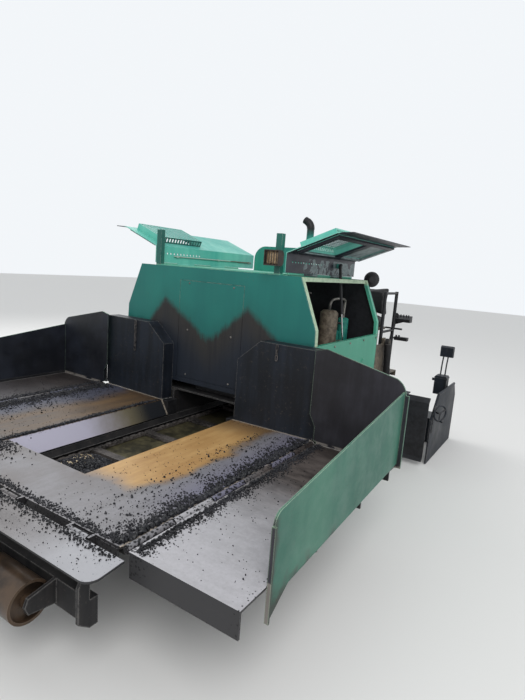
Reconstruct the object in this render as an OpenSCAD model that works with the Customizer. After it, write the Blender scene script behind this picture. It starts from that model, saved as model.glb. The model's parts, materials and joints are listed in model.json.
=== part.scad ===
// Compact tracked asphalt paver, parked with open hopper wings and open engine doors.
// Millimetres. Z is up, the hopper is at the front, towards -Y, and +X is the machine's left side.
// The origin is on the ground, below the middle of the machine.

/* [Hopper] */
// Outer face of the hopper wings' side walls, from the middle
wing_half_w = 1610; // [1450:10:1750]
// Distance of the wing hinges from the middle
hinge_x = 1045; // [1000:5:1100]
// Height of the hopper floor at the wing hinges
floor_z = 578; // [560:2:620]
// Front edge of the hopper floor
hopper_front_y = -2067; // [-2120:1:-2000]
// Front face of the fixed hopper rear walls
rear_wall_y = -432; // [-450:1:-420]
// Thickness of the hopper's steel plate
plate_t = 10; // [6:1:14]
// Height of the hopper's rear walls above the ground
rear_wall_top_z = 1188; // [1100:2:1240]
// Height of the wing side walls at their front end
wing_front_top_z = 860; // [760:5:900]
// Front edge of the wing side walls
wing_wall_front_y = -1895; // [-1950:5:-1700]
// Length of the fold-up front apron
apron_l = 180; // [140:5:200]
// Half width of the apron
apron_half_w = 1095; // [1040:5:1120]

/* [Conveyor] */
// Half width of the conveyor pit between the chutes
pit_half_w = 290; // [270:2:310]
// Front edge of the conveyor pit
pit_front_y = -1730; // [-1800:5:-1600]
// Height of the top of the conveyor's floor plate
deck_z = 356; // [340:1:370]
// Distance from one conveyor bar to the next
slat_pitch = 490; // [400:10:600]
// Width of one conveyor bar
slat_w = 60; // [40:2:80]

/* [Hood] */
// Front face of the hood's front wall
hood_front_y = -318; // [-325:1:-300]
// Rear face of the hood
hood_rear_y = 940; // [900:5:960]
// Half width of the hood at its waist and below
hood_half_w = 920; // [890:5:940]
// Half width of the hood at its roof
roof_half_w = 770; // [740:5:790]
// Height of the hood's roof
roof_z = 1655; // [1600:5:1700]
// Height of the hood's waist line
waist_z = 1300; // [1260:5:1340]
// Height of the side openings' sill
sill_z = 1187; // [1160:1:1200]
// Distance of the door hinges from the middle
door_hinge_x = 632; // [610:2:640]
// Height of the door hinges
door_hinge_z = 1665; // [1662:1:1680]
// Height of the exhaust pipe's top
exhaust_top_z = 2180; // [2050:10:2300]
// Radius of the exhaust pipe
exhaust_r = 33; // [28:1:45]
// Height of the raised grille on a door
grille_h = 55; // [35:5:70]

/* [Tracks] */
// Distance of a track's middle from the machine's middle
track_x = 770; // [750:5:780]
// Width of one track shoe
shoe_w = 260; // [220:5:270]
// Height of the track
track_h = 500; // [460:10:500]
// Centre of the front idler along the machine
idler_y = -1120; // [-1200:10:-1000]
// Centre of the rear sprocket along the machine
sprocket_y = 880; // [800:10:900]
// Number of shoes on one track
shoes = 42; // [30:1:44]
// Gap between two neighbouring shoe pads
shoe_gap = 26; // [16:1:34]
// Height of a shoe's pad above its link plate
pad_h = 25; // [15:1:30]

/* [Push rollers] */
// Radius of a push roller
push_r = 90; // [70:2:100]
// Centre height of the push rollers
push_z = 350; // [320:5:380]
// Centre of the push rollers along the machine
push_y = -2290; // [-2300:5:-2250]
// Outer end of a push roller
push_x = 770; // [700:5:800]

/* [Screed] */
// Height of the pivot of the tow arms
tow_z = 430; // [400:5:450]
// Place of the pivot of the tow arms along the machine
tow_y = -100; // [-200:10:0]
// Half width of the basic screed
screed_half_w = 900; // [850:10:920]
// Front face of the basic screed
screed_y = 1500; // [1480:5:1540]
// Gap between the ground and the screed's sole when it is set down
sole_gap = 4; // [2:1:8]
// Outer face of the end gates at rest, from the middle
gate_x = 1420; // [1300:5:1450]
// Rear edge of the screed's footboard
footboard_y = 2380; // [2300:5:2400]
// Radius of the auger
auger_r = 150; // [130:5:160]
// Pitch of the auger's flights
auger_pitch = 260; // [200:10:320]

/* [Hidden] */
$fn = 48;

green = [0.15, 0.46, 0.38];
pale_green = [0.62, 0.80, 0.70];
soot = [0.11, 0.12, 0.14];
steel = [0.50, 0.49, 0.48];
black = [0.08, 0.08, 0.09];
brown = [0.42, 0.38, 0.33];

// Small clearance between pieces that are only set against each other
seat = 0.3;
hinge_r = 18;
pin_r = 10;
// Front face of the wings' own rear plates, which sweep past the fixed walls
wing_rear_y = rear_wall_y - 24 - plate_t;
wing_floor_x = hinge_x + 24;
// Height of the crease where the fixed floor turns down into the chute
crease_z = floor_z - 9;
crease_x = pit_half_w + 71;
chute_z = 455;
track_ri = track_h / 2 - pad_h - 25;
track_zc = track_h / 2;
deck_plate_z = 640;
auger_y = 1330;
auger_z = 290;

// Outline helpers
function unit(v) = v / norm(v);
function left_of(v) = [-v[1], v[0]];
function seg_normal(p, i) = left_of(unit(p[i + 1] - p[i]));
function corner_normal(p, i) =
    i == 0 ? seg_normal(p, 0) :
    i == len(p) - 1 ? seg_normal(p, len(p) - 2) :
    let (a = seg_normal(p, i - 1), b = seg_normal(p, i)) (a + b) / (1 + a * b);
// A bent sheet: the path is one face, the other lies t to its left
function sheet(p, t) = concat(p, [for (i = [len(p) - 1 : -1 : 0]) p[i] + t * corner_normal(p, i)]);
function arc_points(c, r, a0, a1, n) = [for (i = [0 : n]) let (a = a0 + (a1 - a0) * i / n)
    c + r * [cos(a), sin(a)]];

// A point on a belt that runs round two equal wheels, at way s from its lower front end
function belt_point(s, ya, yb, zc, r, off) =
    let (run_l = yb - ya, arc_l = PI * r, deg = 180 / PI)
    s < run_l ? [ya + s, zc - r - off] :
    s < run_l + arc_l ? let (t = (s - run_l) / r * deg - 90)
        [yb + (r + off) * cos(t), zc + (r + off) * sin(t)] :
    s < 2 * run_l + arc_l ? [yb - (s - run_l - arc_l), zc + r + off] :
    let (t = 90 + (s - 2 * run_l - arc_l) / r * deg)
        [ya + (r + off) * cos(t), zc + (r + off) * sin(t)];
function belt_outline(ya, yb, zc, r, n, gap, edge, low, high) =
    let (p = (2 * (yb - ya) + 2 * PI * r) / n)
    [for (k = [0 : n - 1]) for (q = [[gap / 2, low], [gap / 2 + edge, high],
        [p - gap / 2 - edge, high], [p - gap / 2, low]])
        belt_point(k * p + q[0], ya, yb, zc, r, q[1])];

module prism_y(pts, y0, y1) {
    translate([0, y1, 0]) rotate([90, 0, 0]) linear_extrude(y1 - y0) polygon(pts);
}
module prism_x(pts, x0, x1) {
    translate([x0, 0, 0]) rotate([90, 0, 90]) linear_extrude(x1 - x0) polygon(pts);
}
module block(x, y, z) {
    translate([x[0], y[0], z[0]]) cube([x[1] - x[0], y[1] - y[0], z[1] - z[0]]);
}
module rod_x(x, y, z, r) {
    translate([x[0], y, z]) rotate([0, 90, 0]) cylinder(h = x[1] - x[0], r = r);
}
module rod_y(x, y, z, r) {
    translate([x, y[0], z]) rotate([-90, 0, 0]) cylinder(h = y[1] - y[0], r = r);
}
module rod_z(x, y, z, r) {
    translate([x, y, z[0]]) cylinder(h = z[1] - z[0], r = r);
}
module rod(a, b, r) {
    v = b - a;
    translate(a) rotate([0, acos(v[2] / norm(v)), atan2(v[1], v[0])]) cylinder(h = norm(v), r = r);
}
module on_side(s) {
    if (s < 0) mirror([1, 0, 0]) children();
    else children();
}
module both_sides() {
    children();
    mirror([1, 0, 0]) children();
}

// Chassis
frame_x = [322, 344];
// Underside of the side plates
frame_z = 240;
frame_front_y = -1960;
frame_rear_y = 1290;
// Rear end of the side plates' lower part, in front of the auger
frame_foot_y = auger_y - auger_r - 20;
gusset_ys = [-2040, -1560, -470];
cross_ys = [-1940, -900, 0, 760];
module frame_side() {
    prism_x([[frame_front_y, frame_z], [frame_front_y, 470], [hood_front_y - 20, 470],
        [hood_front_y - 20, deck_plate_z], [frame_rear_y, deck_plate_z], [frame_rear_y, 470],
        [frame_foot_y + 30, 470], [frame_foot_y, frame_z]],
        frame_x[0], frame_x[1]);
}
lashing_eye = [-1915, 300];
lashing_r = 20;
beam_ys = [-660, 360];
beam_w = 100;
module main_frame() color(soot) both_sides() difference() {
    frame_side();
    rod_x([frame_x[0] - 5, frame_x[1] + 5], lashing_eye[0], lashing_eye[1], lashing_r);
}
module cross_members() color(soot) {
    // Members under the side plates, between them at the top
    for (y = cross_ys) {
        block([-frame_x[1], frame_x[1]], [y, y + 60], [frame_z - 42, frame_z]);
    }
    // Axle beams out to the track frames
    for (y = beam_ys)
        block([-beam_x[0] + seat, beam_x[0] - seat], [y, y + beam_w], [frame_z - 54, frame_z]);
    // Front plate with the pivot post and pin of the push beam
    block([-frame_x[1], frame_x[1]], [frame_front_y - 20, frame_front_y], [frame_z, 430]);
    block([-60, 60], [-2030, frame_front_y - 19], [300, 400]);
    rod_z(0, push_pivot_y, [300, 400], 29);
    block([-29, 29], [push_pivot_y, -2029], [300, 400]);
    rod_z(0, push_pivot_y, [262, 438], 12);
}
module hopper_brackets() color(soot) both_sides() {
    for (y = gusset_ys)
        prism_y([[frame_x[1], 250], [frame_x[1], 470], [crease_x + 24, crease_z - plate_t - seat],
            [hinge_x - 30, floor_z - plate_t - seat], [hinge_x - 30, 530], [620, 512], [420, 250]],
            y, y + 14);
    // Lug and pin of the wing cylinder
    prism_y([[frame_x[1], 250], [frame_x[1], 470], [650, 520], [650, 300], [620, 262],
        [580, 250]], gusset_ys[1], gusset_ys[1] + 14);
    rod_y(wing_ram_base[0], [wing_ram_y - 28, gusset_ys[1] + 1], wing_ram_base[1], 14);
}
// Outer face of the tow plates, and of the uprights and the platform
tow_plate_x = hood_half_w - 9;
side_x = hood_half_w - 22;
platform_z = 740;
module deck_plate() color(soot) {
    block([-hood_half_w + 8 + seat, hood_half_w - 8 - seat], [hood_front_y + 14, frame_rear_y],
        [deck_plate_z, deck_plate_z + 12]);
    both_sides() {
        // Tow point: a plate outside the track, hung from the deck, with the arm's pivot pin
        block([tow_plate_x - 8, tow_plate_x], [tow_y - 60, tow_y + 60], [tow_z - 50, deck_plate_z + 1]);
        rod_x([tow_plate_x - 1, arm_x[1] + 4], tow_y, tow_z, 20);
        // Uprights that carry the platform
        block([side_x - 18, side_x], [hood_rear_y + 20, 1440], [deck_plate_z, platform_z - seat]);
        block([frame_x[0], side_x], [hood_rear_y + 20, hood_rear_y + 40], [deck_plate_z, platform_z - seat]);
        auger_hangers();
    }
}
module drive_motors() color(soot) both_sides() {
    rod_x([frame_x[1], wheel_x[0] - seat], sprocket_y, track_zc, 75);
    rod_x([frame_x[1], track_x - shoe_w / 2 - 20], sprocket_y, track_zc, 110);
}
push_pivot_y = -2110;

// Hopper
hinge_y = [hopper_front_y + 6, wing_rear_y - 4];
knuckles = 6;
knuckle_l = (hinge_y[1] - hinge_y[0]) / knuckles;
module knuckle(k) {
    rod_y(hinge_x, [hinge_y[0] + k * knuckle_l + 3, hinge_y[0] + (k + 1) * knuckle_l - 3],
        floor_z - 6, hinge_r);
}
module hopper_floor() color(steel) {
    both_sides() {
        prism_y(sheet([[hinge_x - 23, floor_z], [crease_x, crease_z], [pit_half_w, chute_z]], plate_t),
            hopper_front_y, rear_wall_y - seat);
        for (k = [0 : 2 : knuckles - 1]) {
            knuckle(k);
            block([hinge_x - 30, hinge_x - 5], [hinge_y[0] + k * knuckle_l + 3,
                hinge_y[0] + (k + 1) * knuckle_l - 3], [floor_z - 10, floor_z]);
        }
        rod_y(hinge_x, hinge_y, floor_z - 6, pin_r);
    }
    // Front cross plate over the conveyor's front shaft
    difference() {
        block([-crease_x - 12, crease_x + 12], [hopper_front_y, pit_front_y], [crease_z - plate_t, crease_z]);
        block([-frame_x[0], frame_x[0]], [hopper_front_y + 40, pit_front_y - 40],
            [crease_z - plate_t - 1, crease_z - plate_t + 4]);
    }
    block([-pit_half_w - 4, pit_half_w + 4], [pit_front_y - plate_t, pit_front_y],
        [chute_z - 6, crease_z - 1]);
    // Front lip
    block([-hinge_x + 40, hinge_x - 40], [hopper_front_y, hopper_front_y + 10], [500, 563]);
    // Lugs and pin of the apron's hinge
    a = apron_axis;
    for (x = apron_knuckle_x) for (side = [-1, 1])
        prism_x([[a[0] - 8, a[1] - 8], [a[0] - 8, a[1] + 8], [hopper_front_y + 2, a[1] + 8],
            [hopper_front_y + 2, a[1] - 36]], x + side * 69 - 6, x + side * 69 + 6);
    for (x = apron_knuckle_x) rod_x([x - 75, x + 75], a[0], a[1], apron_pin_r);
}
module hopper_rear_walls() color(soot) {
    chamfer = [554, 1028];
    face = [[crease_x + 7, crease_z + seat], [crease_x + 7, chamfer[1]], [chamfer[0], rear_wall_top_z],
        [hinge_x - 3, rear_wall_top_z], [hinge_x - 3, floor_z + 13], [hinge_x - 24, floor_z + 13],
        [hinge_x - 24, floor_z + seat]];
    both_sides() {
        prism_y(face, rear_wall_y, rear_wall_y + plate_t);
        prism_y(sheet([for (i = [3 : -1 : 0]) face[i]], plate_t),
            rear_wall_y + plate_t - 1, hood_front_y - seat);
        prism_y([[hinge_x - 3 - plate_t, rear_wall_top_z - 5], [hinge_x - 3, rear_wall_top_z - 5],
            [hinge_x - 3, 800], [hinge_x - 3 - plate_t, 800]], rear_wall_y + 1, hood_front_y - 40);
    }
}

// Conveyor
chain_r = 55;
chain_zc = deck_z + 19 - chain_r;
chain_front_y = pit_front_y + 62;
chain_half_h = 12;
chain_rear_y = auger_y - auger_r - chain_r - chain_half_h - 13;
strand_x = [244, 272];
slat_h = 25;
deck_y = [pit_front_y + 130, chain_rear_y - 62];
module conveyor_deck() color(steel) {
    block([-frame_x[0] + seat, frame_x[0] - seat], deck_y, [deck_z - 10, deck_z]);
    for (y = [-1400, -400, 500])
        block([-frame_x[0] + seat, frame_x[0] - seat], [y, y + 40], [deck_z - 40, deck_z - 9]);
}
// Side guards that close the gap below the chute
module chain_guards() color(steel) both_sides()
    prism_y([[frame_x[0] - seat, deck_z], [frame_x[0] - seat, 440], [302, 440], [282, 396],
        [290, 396], [306, 430], [306, deck_z]], deck_y[0], deck_y[1]);
module conveyor_shafts() {
    for (y = [chain_front_y, chain_rear_y]) {
        rod_x([-frame_x[0] + seat, frame_x[0] - seat], y, chain_zc, 20);
        for (x = strand_x) both_sides()
            rod_x([strand_x[0] + 4, strand_x[1] - 4], y, chain_zc, chain_r - chain_half_h - 0.6);
    }
}
module conveyor_chain() color(soot) {
    conveyor_shafts();
    links = 78;
    both_sides() translate([strand_x[0], 0, 0]) rotate([90, 0, 90])
        linear_extrude(strand_x[1] - strand_x[0]) difference() {
            polygon(belt_outline(chain_front_y, chain_rear_y, chain_zc, chain_r, links, 20, 8,
                chain_half_h - 6, chain_half_h));
            translate([chain_front_y, chain_zc - chain_r + chain_half_h])
                square([chain_rear_y - chain_front_y, 2 * (chain_r - chain_half_h)]);
            for (y = [chain_front_y, chain_rear_y])
                translate([y, chain_zc]) circle(chain_r - chain_half_h);
        }
    for (i = [0 : 4]) {
        y = -1210 + i * slat_pitch;
        block([-strand_x[0] - 4, strand_x[0] + 4], [y, y + slat_w], [deck_z + 5, deck_z + 5 + slat_h]);
        block([-strand_x[0] - 4, strand_x[0] + 4], [y - 200, y - 200 + slat_w],
            [chain_zc - chain_r - 12, chain_zc - chain_r + 6]);
    }
}

// Hood
panel_x = [-322, 306];
panel_z = [763, 1550];
front_outline = [[roof_half_w, roof_z], [hood_half_w - 5, waist_z], [hood_half_w, sill_z],
    [hood_half_w, deck_plate_z + 40], [375, deck_plate_z + 40], [375, 720], [-375, 720],
    [-375, deck_plate_z + 40], [-hood_half_w, deck_plate_z + 40], [-hood_half_w, sill_z],
    [-hood_half_w + 5, waist_z], [-roof_half_w, roof_z]];
module hood_front() color(green) {
    difference() {
        prism_y(front_outline, hood_front_y, hood_front_y + 8);
        block([panel_x[0] - 3, panel_x[1] + 3], [hood_front_y - 1, hood_front_y + 9],
            [panel_z[0] - 3, panel_z[1] + 3]);
    }
    difference() {
        block([panel_x[0] - 30, panel_x[1] + 30], [hood_front_y + 7, hood_front_y + 13],
            [panel_z[0] - 30, panel_z[1] + 30]);
        block([panel_x[0] + 30, panel_x[1] - 30], [hood_front_y + 6, hood_front_y + 14],
            [panel_z[0] + 30, panel_z[1] - 30]);
    }
}
module access_panel() color(green) {
    block(panel_x, [hood_front_y, hood_front_y + 7 - seat], panel_z);
}
door_y = [-300, 935];
// Rear end of the right door, which also covers the tank behind the hood
long_door_y = 1150;
post_path = [[roof_half_w, roof_z - 2], [hood_half_w - 5, waist_z], [hood_half_w, sill_z + 2]];
module hood_frame() color(pale_green) {
    both_sides() {
        for (y = [[hood_front_y + 8 + seat, -270], [890, hood_rear_y - 10 - seat]])
            prism_y(sheet([for (i = [2 : -1 : 0]) post_path[i]], 26), y[0], y[1]);
        block([roof_half_w - 10, roof_half_w], [-271, 891], [roof_z - 32, roof_z - 2]);
        block([roof_half_w - 40, roof_half_w], [hood_front_y + 8 + seat, -270], [roof_z - 32, roof_z - 2]);
        block([roof_half_w - 40, roof_half_w], [890, hood_rear_y - 10 - seat], [roof_z - 32, roof_z - 2]);
        // Ends that join the rails to the roof
        block([door_hinge_x - 60, roof_half_w - 20], [hood_front_y + 8 + seat, -272],
            [roof_z - 14, roof_z - 2]);
        block([door_hinge_x - 60, roof_half_w - 20], [892, hood_rear_y - 10 - seat],
            [roof_z - 14, roof_z - 2]);
        for (k = [0 : 2 : 4]) {
            rod_y(door_hinge_x, [door_y[0] + 30 + k * 230 + 3, door_y[0] + 30 + (k + 1) * 230 - 3],
                door_hinge_z, 9);
            block([door_hinge_x - 32, door_hinge_x - 2], [door_y[0] + 30 + k * 230 + 3,
                door_y[0] + 30 + (k + 1) * 230 - 3], [roof_z - 3, roof_z + 9]);
        }
        rod_y(door_hinge_x, [door_y[0] + 30, door_y[0] + 30 + 5 * 230], door_hinge_z, 5);
    }
    block([-door_hinge_x + 30, door_hinge_x - 30], [hood_front_y, hood_rear_y], [roof_z + seat, roof_z + 8]);
    block([-door_hinge_x + 30, door_hinge_x - 30], [hood_front_y + 8 + seat, hood_rear_y - 10 - seat],
        [roof_z - 8, roof_z + 1]);
}
module hood_sides() color(green) both_sides() {
    block([hood_half_w - 8, hood_half_w], [hood_front_y + 8 + seat, hood_rear_y - 10 - seat],
        [deck_plate_z - 20, sill_z]);
    block([hood_half_w - 30, hood_half_w - 4], [hood_front_y + 8 + seat, hood_rear_y - 10 - seat],
        [sill_z - 8, sill_z]);
    block([hood_half_w - 30, hood_half_w - 26], [hood_front_y + 8 + seat, hood_rear_y - 10 - seat],
        [sill_z - 40, sill_z - 7]);
    rod_x([hood_half_w - 2, hood_half_w + 5], 630, 986, 17);
    // Lower bracket of the door's gas strut
    block([strut_eye[0] - 16, hood_half_w - 4], strut_lug_y, [strut_eye[1] - 20, strut_eye[1] + 20]);
}
// Tank behind the right part of the hood, under the long door
module fuel_tank() color(green) {
    y = [hood_rear_y + seat, long_door_y - 8];
    top = roof_z - 48;
    prism_y([[-600, platform_z + 10 + seat], [-600, top], [-roof_half_w - 14, top],
        [-side_x + seat, waist_z + 30], [-side_x + seat, platform_z + 10 + seat]], y[0], y[1]);
    turned([-680, 0.5 * (y[0] + y[1]), top - 1], [[40, 0], [40, 22], [34, 28]]);
}
module rear_bulkhead() color(black) {
    prism_y([[roof_half_w, roof_z], [hood_half_w - 5, waist_z], [hood_half_w, sill_z],
        [hood_half_w, deck_plate_z + 12 + seat], [-hood_half_w, deck_plate_z + 12 + seat],
        [-hood_half_w, sill_z], [-hood_half_w + 5, waist_z], [-roof_half_w, roof_z]],
        hood_rear_y - 10, hood_rear_y);
}

// Gull-wing doors: closed outline from the hinge, then turned up by a right angle
door_path = [[10, 0], [roof_half_w - door_hinge_x + 7, 0],
    [hood_half_w - door_hinge_x + 1, waist_z - door_hinge_z - 2],
    [hood_half_w - door_hinge_x + 6, sill_z - door_hinge_z - 7]];
door_t = 6;
mesh_y = [-200, 330];
function door_open(p) = [door_hinge_x - p[1], door_hinge_z + p[0]];
module door_skin(end_y) {
    difference() {
        prism_y(sheet([for (p = door_path) door_open(p)], door_t), door_y[0], end_y);
        on_door_panel() translate([mesh_x[0], mesh_y[0], -10])
            cube([mesh_x[1] - mesh_x[0], mesh_y[1] - mesh_y[0], 30]);
        // Row of holes in the strip by the hinge
        for (k = [0 : 11]) rod_x([door_hinge_x - 20, door_hinge_x + 20], -206 + k * 42, door_hinge_z + 88, 8);
    }
}
door_slope = atan2(door_path[2][0] - door_path[1][0], door_path[1][1] - door_path[2][1]);
door_panel_l = norm(door_path[2] - door_path[1]);
mesh_x = [80, door_panel_l - 46];
// Places children with X up the main panel's slope and Z out of its outer side
module on_door_panel() {
    p = door_open(door_path[1]);
    translate([p[0], 0, p[1]]) rotate([0, -door_slope, 0]) children();
}
// Frame of folded bars inside the panel: side, rear part's window and mesh
module door_frame() {
    end_y = door_y[1];
    on_door_panel() difference() {
        translate([58, door_y[0] + 46, -20]) cube([door_panel_l - 66, end_y - door_y[0] - 100, 21]);
        translate([mesh_x[0], mesh_y[0], -21]) cube([mesh_x[1] - mesh_x[0], mesh_y[1] - mesh_y[0], 30]);
        translate([mesh_x[0], mesh_y[1] + 90, -21])
            cube([mesh_x[1] - mesh_x[0], end_y - mesh_y[1] - 190, 21]);
    }
}
// Raised box over the window, with slots in its sides and a mesh on top
module door_grille() {
    w = mesh_x[1] - mesh_x[0] + 16;
    l = mesh_y[1] - mesh_y[0] + 16;
    nx = 11;
    ny = 15;
    px = (w - 16) / nx;
    py = (l - 16) / ny;
    on_door_panel() translate([mesh_x[0] - 8, mesh_y[0] - 8, door_t - 1]) {
        difference() {
            cube([w, l, grille_h]);
            translate([8, 8, -1]) cube([w - 16, l - 16, grille_h + 2]);
            for (j = [0 : ny - 1]) translate([-1, 8 + j * py + py * 0.2, 12])
                cube([w + 2, py * 0.6, grille_h - 24]);
        }
        translate([0, 0, grille_h - 4]) linear_extrude(3) difference() {
            square([w, l]);
            for (i = [0 : nx - 1]) for (j = [0 : ny - 1])
                translate([8 + (i + 0.5) * px, 8 + (j + 0.5) * py])
                    polygon([[-px * 0.4, 0], [0, -py * 0.4], [px * 0.4, 0], [0, py * 0.4]]);
        }
    }
}
module door(s, end_y) color(green) on_side(s) {
    door_skin(end_y);
    door_frame();
    door_grille();
    // Latch rod in its clips on the strip by the hinge
    rod_y(door_hinge_x - door_t - 8, [-90, end_y - 60], door_hinge_z + 68, 5);
    for (y = [-60, 0.5 * end_y - 60, end_y - 120])
        block([door_hinge_x - door_t - 14, door_hinge_x - 1], [y, y + 26],
            [door_hinge_z + 60, door_hinge_z + 76]);
    // Leaves and knuckles of the hinge
    difference() {
        for (k = [1 : 2 : 3]) {
            rod_y(door_hinge_x, [door_y[0] + 30 + k * 230 + 3, door_y[0] + 30 + (k + 1) * 230 - 3],
                door_hinge_z, 9);
            block([door_hinge_x - door_t, door_hinge_x], [door_y[0] + 30 + k * 230 + 3,
                door_y[0] + 30 + (k + 1) * 230 - 3], [door_hinge_z, door_hinge_z + 14]);
        }
        rod_y(door_hinge_x, [door_y[0], door_y[1]], door_hinge_z, 5.1);
    }
    // Lug and pin of the gas strut
    block([door_hinge_x - 1, strut_pin[0] + 12], strut_lug_y, [strut_pin[1] - 20, strut_pin[1] + 20]);
    rod_y(strut_pin[0], [strut_y - strut_eye_w / 2 - 4, strut_lug_y[1]], strut_pin[1], stud_r);
}
// Gas struts, pinned beside a lug on the door's roof flange and one in the engine bay
strut_y = 530;
strut_pin = [door_hinge_x + 40, door_hinge_z + 90];
strut_eye = [roof_half_w - 5, sill_z - 87];
strut_l = norm(strut_eye - strut_pin);
strut_a = atan2(strut_eye[1] - strut_pin[1], strut_eye[0] - strut_pin[0]);
strut_r = 12;
strut_rod_r = 6;
strut_eye_r = 12;
strut_eye_w = 16;
strut_barrel_l = 400;
strut_lug_y = [strut_y + strut_r + 1, strut_y + strut_r + 9];
stud_r = 6;

// A ram along local X with its pin along local Z
module ram_barrel(r, rod_r, length, eye_r, eye_w, pin) {
    difference() {
        union() {
            translate([0, 0, -eye_w / 2]) cylinder(h = eye_w, r = eye_r);
            translate([eye_r * 0.7, 0, 0]) rotate([0, 90, 0]) cylinder(h = length - eye_r * 0.7, r = r);
        }
        translate([0, 0, -eye_w]) cylinder(h = 2 * eye_w, r = pin);
        translate([eye_r * 1.5, 0, 0]) rotate([0, 90, 0]) cylinder(h = length, r = rod_r + seat);
    }
}
module ram_rod(rod_r, start, end, eye_r, eye_w, pin) {
    neck = eye_r * 0.6;
    difference() {
        union() {
            translate([end, 0, -eye_w / 2]) cylinder(h = eye_w, r = eye_r);
            translate([end - eye_r - 12, -neck, -eye_w / 2]) cube([eye_r + 12, 2 * neck, eye_w]);
            translate([start, 0, 0]) rotate([0, 90, 0]) cylinder(h = end - eye_r - 6 - start, r = rod_r);
        }
        translate([end, 0, -eye_w]) cylinder(h = 2 * eye_w, r = pin);
    }
}
module in_xz(p, y, a) {
    translate([p[0], y, p[1]]) rotate([90, 0, 0]) rotate([0, 0, a]) children();
}
module in_yz(x, p, a) {
    translate([x, p[0], p[1]]) rotate([90, 0, 90]) rotate([0, 0, a]) children();
}

// Wing cylinders
wing_ram_y = -1650;
wing_ram_base = [600, 300];
wing_ram_tip = [hinge_x + 100, floor_z - 200];
wing_ram_l = norm(wing_ram_tip - wing_ram_base);
wing_ram_a = atan2(wing_ram_tip[1] - wing_ram_base[1], wing_ram_tip[0] - wing_ram_base[0]);
module wing_barrel(s) color(soot) on_side(s) {
    in_xz(wing_ram_base, wing_ram_y, wing_ram_a) ram_barrel(32, 16, 400, 30, 40, 14.1);
}
module wing_rod(s) color(steel) on_side(s) {
    in_xz(wing_ram_base, wing_ram_y, wing_ram_a) ram_rod(16, 80, wing_ram_l, 28, 40, 14);
}
module strut_barrel(s) color(black) on_side(s) {
    in_xz(strut_pin, strut_y, strut_a)
        ram_barrel(strut_r, strut_rod_r, strut_barrel_l, strut_eye_r, strut_eye_w, stud_r + 0.1);
}
module strut_rod(s) color(steel) on_side(s) {
    in_xz(strut_pin, strut_y, strut_a)
        ram_rod(strut_rod_r, strut_barrel_l - 160, strut_l, strut_eye_r, strut_eye_w, stud_r);
}

// Hopper wings
module wing_floor(s) color(steel) on_side(s) {
    block([wing_floor_x, wing_half_w - plate_t - seat], [hopper_front_y, wing_rear_y - seat],
        [floor_z - plate_t, floor_z]);
    difference() {
        for (k = [1 : 2 : knuckles - 1]) {
            knuckle(k);
            block([hinge_x + 5, wing_floor_x + 2], [hinge_y[0] + k * knuckle_l + 3,
                hinge_y[0] + (k + 1) * knuckle_l - 3], [floor_z - 10, floor_z]);
        }
        rod_y(hinge_x, [hinge_y[0] - 1, hinge_y[1] + 1], floor_z - 6, pin_r + 0.1);
    }
    // Skirt under the front edge, and ribs under the floor
    block([wing_floor_x + 6, wing_half_w - plate_t - seat], [hopper_front_y, hopper_front_y + 10],
        [floor_z - 110, floor_z - 9]);
    for (y = [-1500, -1000, -560])
        block([wing_floor_x + 6, wing_half_w - plate_t - seat], [y, y + 12], [floor_z - 65, floor_z - 9]);
    // Lug of the wing cylinder
    prism_y([[wing_floor_x + 6, floor_z - 9], [wing_ram_tip[0] - 34, wing_ram_tip[1] - 10],
        [wing_ram_tip[0] - 20, wing_ram_tip[1] - 34], [wing_ram_tip[0] + 20, wing_ram_tip[1] - 34],
        [wing_ram_tip[0] + 34, wing_ram_tip[1] - 10], [wing_floor_x + 190, floor_z - 9]],
        wing_ram_y + 20 + 2 * seat, wing_ram_y + 36);
}
wing_rear_top_z = 1040;
// How far the wing's rear plate laps over the fixed wall
wing_lap = 40;
module wing_wall(s) color(green) on_side(s) {
    // Side wall
    front = wing_wall_front_y;
    prism_x(concat([[front, 430]], [[hopper_front_y + 310, 520]], [[wing_rear_y + plate_t, 595]],
        [[wing_rear_y + plate_t, wing_rear_top_z]],
        arc_points([front + 50, wing_front_top_z - 50], 50, 98, 180, 6)),
        wing_half_w - plate_t, wing_half_w);
    // Rear plate
    r = 110;
    prism_y(concat([[hinge_x + 3, floor_z + 13]], [[wing_floor_x, floor_z + 13]],
        [[wing_floor_x, floor_z - plate_t]], [[wing_half_w - 1, floor_z - plate_t]],
        arc_points([wing_half_w + 8 - r, wing_rear_top_z - 30], r, 0, 66, 6),
        [[hinge_x - wing_lap + 80, rear_wall_top_z + 28], [hinge_x - wing_lap, rear_wall_top_z + 10]],
        [[hinge_x - wing_lap, floor_z + 190], [hinge_x + 3, floor_z + 110]]),
        wing_rear_y, wing_rear_y + plate_t);
    // Upright flange at the outer rear corner
    block([wing_half_w - 2, wing_half_w + 26], [wing_rear_y, wing_rear_y + plate_t],
        [floor_z - 8, wing_rear_top_z - 20]);
    // Turned-out lip along the wall's front edge
    block([wing_half_w - plate_t, wing_half_w + 8], [front - 8, front + 1], [430, wing_front_top_z - 50]);
}

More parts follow.
